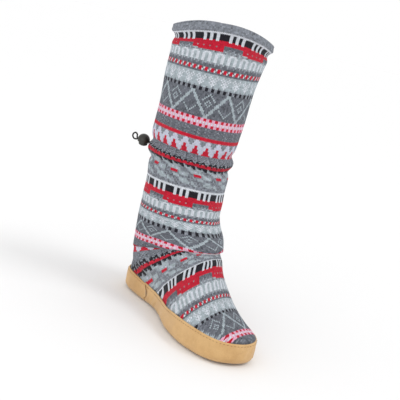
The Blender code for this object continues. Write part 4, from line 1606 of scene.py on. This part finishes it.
@dataclass
class SuedeSole:
    """The padded suede sole: a band in two pieces, the bottom, and the sewing along the top."""

    form: BootForm
    seam_place: float = 0.080
    lap: float = 0.012
    lap_rise: float = 0.0008
    stitch_pitch: float = 0.0042
    stitch_length: float = 0.0020
    stitch_drop: float = 0.0024
    thread: float = 0.00028
    thread_sides: int = 6
    thread_out: float = 0.00012
    thread_sink: float = 0.0007
    line_points: int = 4000
    stations: int = 520
    section_points: int = 64
    # the share of the band's height above which the side is straight, and its least height there
    side_from: float = 0.36
    side_level: float = 0.0082
    # how far in, in mm, the section still stands proud
    proud_until: float = 4.0
    # columns: inwards in mm, up in mm, up as a share of the band's height
    section: tuple = (
        (9.5, 0.30, 0.0), (7.5, 0.22, 0.0), (5.6, 0.30, 0.0), (3.9, 0.85, 0.0), (2.5, 1.85, 0.0),
        (1.35, 3.4, 0.0), (0.55, 5.4, 0.0), (0.12, 8.0, 0.0), (0.0, 0.0, 0.36), (0.0, 0.0, 0.46),
        (0.0, 0.0, 0.56), (0.02, 0.0, 0.66), (0.05, 0.0, 0.76), (0.12, 0.0, 0.84),
        (0.30, 0.0, 0.905), (0.55, 0.0, 0.95), (0.95, 0.0, 0.982), (1.5, 0.0, 0.998),
        (2.1, 0.0, 0.996), (2.55, 0.0, 0.975), (2.75, 0.0, 0.93), (2.80, 0.0, 0.86),
    )
    # columns: depth, waves in a radian, waves in the height, phase
    waves: tuple = ((0.00022, 17, 3, 0), (0.00015, 41, -5, 1))
    # columns: turn, lean, depth, width
    folds: tuple = (
        (1.33, 0.10, 0.0010, 0.022), (1.42, 0.14, 0.0007, 0.016), (1.26, 0.06, 0.0005, 0.014),
        (4.72, 0.10, 0.0008, 0.020), (4.62, -0.08, 0.0005, 0.016), (2.30, 0.05, 0.0004, 0.02),
    )
    bottom_points: int = 360
    bottom_shares: tuple = (0.25, 0.5, 0.75, 0.999)
    spine_front: float = 0.036
    # columns: inwards in mm, up in mm
    bottom_rings: tuple = (
        (4.2, 5.6), (3.9, 3.4), (4.3, 1.6), (5.4, 0.5), (7.0, 0.06), (9.0, 0.0), (12.0, 0.0)
    )

    @staticmethod
    def _seam_line(height: np.ndarray) -> np.ndarray:
        """Return how far back the lap's edge lies: it is cut back at the band's top and bottom."""
        return -0.070 * ease(height, 0.55, 1.0) - 0.045 * (1 - ease(height, 0.0, 0.50))

    def _profile(self, turns: np.ndarray, proud: np.ndarray, lap: np.ndarray) -> np.ndarray:
        """Sweep the band's section round the sole.

        The section starts under the sole, rolls round a soft lower edge, goes up a slightly full
        side, rounds over the top edge and ends behind it.

        Args:
            turns: The angles round the outline.
            proud: How far the side stands out at each turn.
            lap: How much each turn follows the lap's cut edge, from -1 to 1.

        Returns:
            Turns by section points by three, in the model's frame.
        """
        along = self.form.sole_point(turns % WHOLE_TURN)[:, 0]
        top = self.form.band_height(along)[:, None]
        inwards, up, share = through_points(self.section, self.section_points).T
        inset = inwards * MM - proud[:, None] * np.clip(1 - inwards / self.proud_until, 0, 1)
        blend = ease(share, 0.0, self.side_from)
        height = up * MM * (1 - blend) + np.maximum(share * top, self.side_level) * blend
        height = np.where(share > self.side_from, share * top, height)
        wide = turns[:, None] + lap[:, None] * self._seam_line(share)
        plan = self.form.sole_ring(inset + self._dents(wide, height / top), wide)
        height = height + self.form.floor_lift(plan[..., 0])
        return np.concatenate([plan, height[..., None]], axis=-1) - self.form.origin

    def _dents(self, turns: np.ndarray, height: np.ndarray) -> np.ndarray:
        """Return the suede's soft unevenness: slow sines, and a few leaning folds at the waist.

        Args:
            turns: The angles round the outline.
            height: Shares of the band's height.

        Returns:
            How far the suede lies inwards.
        """
        side = np.clip(np.sin(np.pi * np.clip(height, 0, 1)), 0, 1)
        slow = sum(d * np.sin(t * turns + h * height + phase) for d, t, h, phase in self.waves)
        folds = np.zeros_like(turns)
        for place, lean, depth, width in self.folds:
            away = turns - place - lean * (height - 0.5)
            folds += depth * np.exp(-((away / width) ** 2)) * np.clip(1.15 - height, 0, 1)
        return side * (slow + folds)

    def _seam_turns(self) -> tuple[float, float]:
        """Return the turns of the seam at the outer and the inner side."""
        near = math.acos(1 - 2 * self.seam_place / self.form.foot_length)
        return near, WHOLE_TURN - near

    def _band_piece(
        self, name: str, turns: np.ndarray, proud: np.ndarray, lap: np.ndarray
    ) -> bpy.types.Mesh:
        """Make one band piece, its section closed behind by a straight line.

        Args:
            name: The piece's name.
            turns: The angles that it spans.
            proud: How far it stands out at each turn.
            lap: How much each turn follows the lap's cut edge, from -1 to 1.

        Returns:
            Its mesh.
        """
        grid = Grid(self._profile(turns, proud, lap))
        return grid.cap(0, reverse=True).cap(len(turns) - 1, reverse=False).mesh(name)

    def build(self) -> list[bpy.types.Object]:
        """Build the sole's pieces.

        Returns:
            The pieces.
        """
        suede = SuedeFinish().make()
        near, far = self._seam_turns()
        lap = 2 * self.lap / self.form.foot_length / math.sin(near)
        front = np.linspace(near - lap, far + lap, self.stations)
        under = ease(front, near - 0.02, near + 0.05) * (1 - ease(front, far - 0.05, far + 0.02))
        front_mesh = self._band_piece("band_front", front, -self.lap_rise * (1 - under), 0 * front)
        back = far - WHOLE_TURN
        heel = np.linspace(back, near, self.stations // 2)
        close = ease(np.minimum(near - heel, heel - back), 0.0, 0.16)
        cut = ease(heel, near - 0.25, near) - (1 - ease(heel, back, back + 0.25))
        heel_mesh = self._band_piece("band_heel", heel, self.lap_rise * 0.5 * (1 - close), cut)
        pieces = [
            place_piece("band_front", front_mesh, suede),
            place_piece("band_heel", heel_mesh, suede),
            self._bottom(suede),
            self._sewing(),
        ]
        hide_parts("foxing_front")
        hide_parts("foxing_heel")
        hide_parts("outsole")
        return pieces

    def _bottom(self, suede: bpy.types.Material) -> bpy.types.Object:
        """Build the sole's padded bottom: rings from under the band in to its middle line.

        Args:
            suede: Its material.

        Returns:
            The piece.
        """
        turns = even_turns(self.bottom_points)
        rows = []
        for inset, height in self.bottom_rings:
            plan = self.form.sole_ring(np.full(len(turns), inset * MM), turns)
            rows.append(np.column_stack([plan, self.form.floor_lift(plan[:, 0]) + height * MM]))
        edge = rows[-1][:, :2]
        spine = self.form.spine(edge, edge[:, 1].mean(), self.spine_front)
        for share in self.bottom_shares:
            plan = edge + (spine - edge) * share
            rows.append(np.column_stack([plan, self.form.floor_lift(plan[:, 0])]))
        mesh = Grid(np.array(rows) - self.form.origin).mesh("sole_bottom")
        return place_piece("sole_bottom", mesh, suede)

    def _sewing(self) -> bpy.types.Object:
        """Sew a row of short stitches below the band's top edge, each sunk at both ends.

        A stitch is a short tube, and its line sinks by the fourth power of the way from its middle.

        Returns:
            The piece.
        """
        turns = np.linspace(0, WHOLE_TURN, self.line_points, endpoint=False)
        along = self.form.sole_point(turns)[:, 0]
        plan = self.form.sole_ring(np.full(len(turns), 0.0001), turns)
        height = self.form.band_height(along) - self.stitch_drop + self.form.floor_lift(plan[:, 0])
        line = np.column_stack([plan, height]) - self.form.origin
        far = np.concatenate([[0], np.cumsum(np.linalg.norm(np.diff(line, axis=0), axis=1))])
        count, sides = int(far[-1] / self.stitch_pitch), self.thread_sides
        centre = np.arange(count) * far[-1] / count
        out = self.form.sole_ring(np.full(len(turns), -MM), turns) - plan
        out = np.column_stack([out / MM, np.zeros(len(out))])
        steps = np.linspace(-0.5, 0.5, sides)
        at = centre[:, None] + steps[None] * self.stitch_length
        middle, outward = (
            np.stack([np.interp(at, far, track[:, i]) for i in range(3)], axis=-1)
            for track in (line, out)
        )
        stand = self.thread_out - self.thread_sink * (2 * steps) ** 4
        middle = middle + outward * stand[None, :, None]
        around = even_turns(sides)[None, None, :, None]
        ring = outward[:, :, None] * np.sin(around) + UP * np.cos(around)
        points = middle[:, :, None] + ring * self.thread
        one = Grid(points[0])
        corners = one.rows * sides + one.columns % sides
        index = corners[None] + np.arange(count)[:, None, None] * sides**2
        mesh = bpy.data.meshes.new("band_sewing")
        mesh.from_pydata(points.reshape(-1, 3), [], index.reshape(-1, 4).tolist())
        mesh.shade_smooth()
        return place_piece("band_sewing", mesh, ThreadFinish().make())


@dataclass
class Footbed:
    """The soft padded footbed inside."""

    form: BootForm
    bottom: float = 0.0063
    thickness: float = 0.00485
    tread_depth: float = 0.0004
    tread_waves: tuple[float, float] = (260.0, 210.0)
    points: int = 240
    # columns: pull towards the middle line, up as a share of the thickness
    rings: tuple = (
        (1.0, 0.0), (0.5, 0.0), (0.0, 0.0), (0.0, 0.25), (0.0, 0.60), (0.02, 0.86), (0.05, 0.97),
        (0.12, 1.03), (0.25, 1.08), (0.45, 1.12), (0.70, 1.14), (0.97, 1.15),
    )

    def build(self) -> bpy.types.Object:
        """Build it: rings of the outline, crowned towards the middle line, dimpled on top by sines.

        Returns:
            The piece.
        """
        turns = even_turns(self.points)
        side = self.form.band_thickness + self.form.knit_wall + 3 * self.form.seat_gap
        middle = float(self.form.sole_point(turns)[:, 1].mean())
        edge = self.form.sole_ring(np.full(len(turns), side), turns)
        spine = self.form.spine(edge, middle, self.form.spine_start)
        rows = []
        for pull, height in self.rings:
            plan = edge + (spine - edge) * pull
            dimple = np.sin(plan * self.tread_waves).prod(axis=1) * (height > 1)
            rise = self.bottom + height * self.thickness + self.tread_depth * dimple
            rows.append(np.column_stack([plan, self.form.floor_lift(plan[:, 0]) + rise]))
        finish = FleeceFinish("footbed_pile", linear(196, 192, 184), 520.0).make()
        mesh = Grid(np.array(rows) - self.form.origin).mesh("footbed")
        piece = place_piece("footbed", mesh, finish)
        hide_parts("insole")
        return piece


@dataclass
class CordAndLock:
    """The drawcord's free loop and the ball lock with its sprung button."""

    form: BootForm
    cord: float = 0.002
    turn_from_back: float = math.radians(44.0)
    hole_spacing: float = 0.0042
    strand_spacing: float = 0.0026
    loop_radius: float = 0.0036
    ball: float = 0.008
    standoff: float = 0.0042
    climb: float = 0.0016
    rise: float = 0.0022
    body_bottom: float = -0.0028
    button_radius: float = 0.0058
    button_travel: float = 0.002
    button_top: float = 0.0015
    button_dome: float = -0.0050
    button_bottom: float = -0.0078
    gap: float = 0.0003
    # the moulded line round the ball: how high, how deep and how wide
    line_height: float = -0.0016
    line_depth: float = 0.00028
    pole: float = 1e-5
    edge_break: float = 0.0003
    lathe_steps: int = 72
    dome_steps: int = 44
    foot_steps: int = 20
    path_points: int = 260
    cord_sides: int = 14
    hidden_sides: int = 8
    hidden_points: int = 220
    way_reach: float = 0.02
    way_sides: int = 32
    sharp_angle: float = math.radians(38.0)
    # columns: out from the lock, sideways, up; sideways in shares of half the strands' spacing,
    # the others in shares of the loop's radius
    end_loop: tuple = (
        (0.20, 1.00, -0.02), (0.75, 0.95, -0.20), (1.55, 0.80, -0.10), (2.15, 0.45, 0.60),
        (2.10, 0.05, 1.45), (1.40, -0.40, 1.95), (0.75, -0.80, 1.45), (0.65, -0.95, 0.75),
        (0.52, -1.00, 0.22), (0.20, -1.00, 0.02),
    )

    def _frame(self) -> tuple[np.ndarray, np.ndarray, np.ndarray, np.ndarray]:
        """Find where the cord leaves the casing.

        Returns:
            The place, and the ways out, along the wall and up.
        """
        centre_x, centre_y, half = self.form.shaft_section(self.form.casing_height)
        out = np.array([-math.cos(self.turn_from_back), -math.sin(self.turn_from_back), 0.0])
        along = np.array([-out[1], out[0], 0.0])
        wall = np.array([float(centre_x), float(centre_y), self.form.casing_height])
        wall = wall + out * (float(half) + float(self.form.casing_swell(self.form.casing_height)))
        return wall - self.form.origin, out, along, UP

    def _path(self) -> np.ndarray:
        """Lay the cord's route: out of one hole, through the lock, round the loop and back.

        Returns:
            Its points.
        """
        wall, out, along, up = self._frame()
        hole, strand = self.hole_spacing / 2, self.strand_spacing / 2
        lock = self.standoff + self.ball
        leave = lock + self.ball
        straight = [self.standoff, lock - self.ball / 2, lock, lock + 0.6 * self.ball, leave]
        leaving = [(0.5 * self.standoff, 0.8 * hole, 0.45 * self.climb), (0, hole, 0)]
        leaving.append((-self.form.knit_wall - 2 * self.gap, hole, 0))
        knots = leaving[::-1] + [(o, strand, self.climb) for o in straight]
        radius = self.loop_radius
        for o, side, u in self.end_loop:
            knots.append((leave + o * radius, side * strand, self.climb + u * radius))
        knots += [(o, -strand, self.climb) for o in straight[::-1]]
        knots += [(o, -side, u) for o, side, u in leaving]
        path = through_points(knots, self.path_points)
        return wall + path[:, :1] * out + path[:, 1:2] * along + path[:, 2:] * up

    def build_cord(self) -> bpy.types.Object:
        """Build the free loop of cord, and the hidden run round the shaft in the same finish.

        Returns:
            The free loop.
        """
        finish = CordFinish().make()
        path = self._path()
        mesh = tube(path, self.cord / 2, self.cord_sides, "cord_loop")
        piece = place_piece("cord_loop", mesh, finish)
        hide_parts("drawcord_loop")
        wall, out, along, _ = self._frame()
        inner = self.form.knit_wall + 3 * self.gap + self.cord / 2
        radius = float(self.form.shaft_section(self.form.casing_height)[2])
        radius += float(self.form.casing_swell(self.form.casing_height)) - inner
        opening = (self.hole_spacing / 2 - self.cord / 2) / radius
        sweep = np.linspace(opening, WHOLE_TURN - opening, self.hidden_points)[:, None]
        circle = radius * (np.cos(sweep) * out + np.sin(sweep) * along)
        run = wall - out * (radius + inner) + circle
        mesh = tube(run, self.cord / 2, self.hidden_sides, "cord_hidden_run")
        hidden = place_piece("cord_hidden_run", mesh, finish)
        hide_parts("drawcord")
        return piece

    def _turned(self, name: str, profile: np.ndarray, centre: np.ndarray) -> bpy.types.Mesh:
        """Turn a profile round the upright through a centre.

        Args:
            name: The mesh's name.
            profile: Rows of radius and height, from top to bottom.
            centre: The centre.

        Returns:
            The mesh.
        """
        radius, height = profile[:, :1], profile[:, 1:]
        turn = even_turns(self.lathe_steps)
        level = np.broadcast_to(height, (len(profile), self.lathe_steps))
        points = np.stack([radius * np.cos(turn), radius * np.sin(turn), level], axis=-1)
        return Grid(points + centre, Facing.TURNED).mesh(name)

    def _cut(
        self, mesh: bpy.types.Mesh, centre: np.ndarray, heading: float, width: float, height: float
    ) -> bpy.types.Mesh:
        """Cut a straight way with round sides through a mesh.

        Args:
            mesh: The mesh to cut.
            centre: The way's middle.
            heading: The way's direction in plan.
            width: Its width.
            height: Its height.

        Returns:
            The cut mesh.
        """
        solid = bpy.data.objects.new("solid", mesh)
        turn = np.linspace(0, WHOLE_TURN, self.way_sides, endpoint=False)
        flat = (width - height) / 2
        side = np.cos(turn) * height / 2 + np.sign(np.cos(turn)) * flat
        rise = np.sin(turn) * height / 2
        way = np.array([math.cos(heading), math.sin(heading)])
        cross = np.array([-way[1], way[0]])
        rings = [
            np.column_stack([centre[:2] + way * end + side[:, None] * cross, centre[2] + rise])
            for end in (-self.way_reach, self.way_reach)
        ]
        grid = Grid(np.array(rings)).cap(0, reverse=True).cap(1, reverse=False)
        cutter = bpy.data.objects.new("cutter", grid.mesh("cutter"))
        for thing in (solid, cutter):
            bpy.context.scene.collection.objects.link(thing)
        cut = solid.modifiers.new("way", "BOOLEAN")
        cut.operation, cut.solver, cut.object = "DIFFERENCE", "EXACT", cutter
        bpy.context.view_layer.update()
        evaluated = solid.evaluated_get(bpy.context.evaluated_depsgraph_get())
        done = bpy.data.meshes.new_from_object(evaluated)
        for thing in (solid, cutter):
            bpy.data.objects.remove(thing)
        done.set_sharp_from_angle(angle=self.sharp_angle)
        return done

    def _body_profile(self) -> np.ndarray:
        """Draw the body: a ball cut off below, its lip, and the button's bore up to a flat roof.

        Returns:
            Rows of radius and height, from the top of the ball to the middle of the roof.
        """
        low_end = math.asin(self.body_bottom / self.ball)
        turn = np.linspace(math.pi / 2, low_end, self.dome_steps)
        dome = np.column_stack([self.ball * np.cos(turn), self.ball * np.sin(turn)])
        away = (dome[:, 1] - self.line_height) / self.line_depth
        dome[:, 0] -= self.line_depth * np.exp(-(away**2))
        dome[0, 0] = self.pole
        low, bore = self.body_bottom, self.button_radius + self.gap
        roof = self.button_top + self.button_travel + self.gap
        lip = [(self.ball * 0.925, low - 0.0001), (self.ball * 0.88, low - 0.00025)]
        inside = [(bore + 0.0002, low - 0.0002), (bore, low), (bore, roof), (self.pole, roof)]
        return np.vstack([dome, lip, inside])

    def _button_profile(self) -> np.ndarray:
        """Draw the button: a flat top with a broken edge, and a domed foot.

        Returns:
            Rows of radius and height, from the top to the bottom.
        """
        radius, top, small = self.button_radius, self.button_top, self.edge_break
        turn = np.linspace(0, math.pi / 2 - 0.002, self.foot_steps)
        drop = self.button_dome - self.button_bottom
        foot = np.column_stack([radius * np.cos(turn), self.button_dome - drop * np.sin(turn)])
        return np.vstack([[(self.pole, top), (radius - small, top), (radius, top - small)], foot])

    def build_lock(self) -> list[bpy.types.Object]:
        """Build the lock's domed body, with a moulded line round it, and its button.

        Returns:
            The body and the button.
        """
        wall, out, _, up = self._frame()
        centre = wall + out * (self.standoff + self.ball) + up * self.rise
        heading = math.atan2(out[1], out[0])
        cord_level = self.climb - self.rise
        room = self.cord + 2 * self.gap
        width = self.strand_spacing + room
        body = self._turned("lock_body", self._body_profile(), centre)
        body = self._cut(body, centre + up * cord_level, heading, width, room)
        slot = centre + up * (cord_level - self.button_travel / 2)
        button = self._turned("lock_button", self._button_profile(), centre)
        button = self._cut(button, slot, heading, width, room + self.button_travel)
        plastic = PlasticFinish().make()
        pieces = [
            place_piece("lock_body", body, plastic),
            place_piece("lock_button", button, plastic, "button"),
        ]
        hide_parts("cord_lock_body")
        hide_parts("cord_lock_button")
        return pieces


@dataclass
class Studio:
    """The camera, the floor and the soft light."""

    eye: tuple[float, float, float] = (0.80396, -0.4830, 0.35375)
    heading: float = math.radians(60.0)
    down: float = math.radians(12.2)
    roll: float = math.radians(13.0)
    lens: float = 72.0
    sensor: float = 36.0
    floor_half: float = 40.0
    floor_gap: float = 0.0002
    middle: tuple[float, float, float] = (0.0, 0.0, 0.16)
    # columns: name, kind, place, spread, power
    lamps: tuple = (
        ("lamp_key", "SUN", (0.55, 0.55, 1.3), math.radians(20.0), 0.62),
        ("lamp_front", "AREA", (0.7, -1.3, 0.4), 1.2, 3.9),
    )

    def camera(self) -> None:
        """Set the camera up at the photograph's viewing angle."""
        data = bpy.data.cameras.new("camera")
        data.lens, data.sensor_width, data.clip_start = self.lens, self.sensor, 0.01
        camera = bpy.data.objects.new("camera", data)
        bpy.context.scene.collection.objects.link(camera)
        turn = Matrix.Rotation(self.heading, 4, "Z")
        tilt = Matrix.Rotation(math.pi / 2 - self.down, 4, "X")
        roll = Matrix.Rotation(self.roll, 4, "Z")
        camera.matrix_world = Matrix.Translation(self.eye) @ turn @ tilt @ roll
        bpy.context.scene.camera = camera

    def _lamp(self, name: str, kind: str, place: tuple, spread: float, power: float) -> None:
        """Hang a lamp that faces the middle of the boot.

        Args:
            name: The lamp's name.
            kind: SUN or AREA.
            place: Where it hangs.
            spread: A sun's angle in radians, or an area lamp's side.
            power: Its strength, in watts for an area lamp.
        """
        data = bpy.data.lights.new(name, kind)
        data.energy = power
        setattr(data, "angle" if kind == "SUN" else "size", spread)
        lamp = bpy.data.objects.new(name, data)
        bpy.context.scene.collection.objects.link(lamp)
        way = Vector(self.middle) - Vector(place)
        turn = way.to_track_quat("-Z", "Y").to_matrix().to_4x4()
        lamp.matrix_world = Matrix.Translation(place) @ turn

    def build(self) -> None:
        """Lay the floor, hang the lamps and light the air."""
        half, low = self.floor_half, -self.floor_gap
        corners = [(-half, -half, low), (half, -half, low), (half, half, low), (-half, half, low)]
        mesh = bpy.data.meshes.new("floor")
        mesh.from_pydata(corners, [], [(0, 1, 2, 3)])
        floor = bpy.data.objects.new("floor", mesh)
        mesh.materials.append(FloorFinish().make())
        bpy.context.scene.collection.objects.link(floor)
        for lamp in self.lamps:
            self._lamp(*lamp)
        world = bpy.data.worlds.new("studio")
        world.use_nodes = True
        background = world.node_tree.nodes["Background"]
        background.inputs["Color"].default_value = (1.0, 1.0, 1.0, 1.0)
        background.inputs["Strength"].default_value = 1.0
        bpy.context.scene.world = world
        bpy.context.scene.view_settings.view_transform = "Standard"


def main() -> None:
    """Build the boot's pieces in order and the studio round them."""
    logging.basicConfig(level=logging.INFO, format="%(name)s: %(message)s")
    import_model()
    studio = Studio()
    studio.camera()
    form = BootForm()
    cord = CordAndLock(form)
    cord.build_lock()
    cord.build_cord()
    KnittedUpper(form, KnitChart()).build()
    SuedeSole(form).build()
    Footbed(form).build()
    studio.build()


if __name__ == "__main__":
    main()
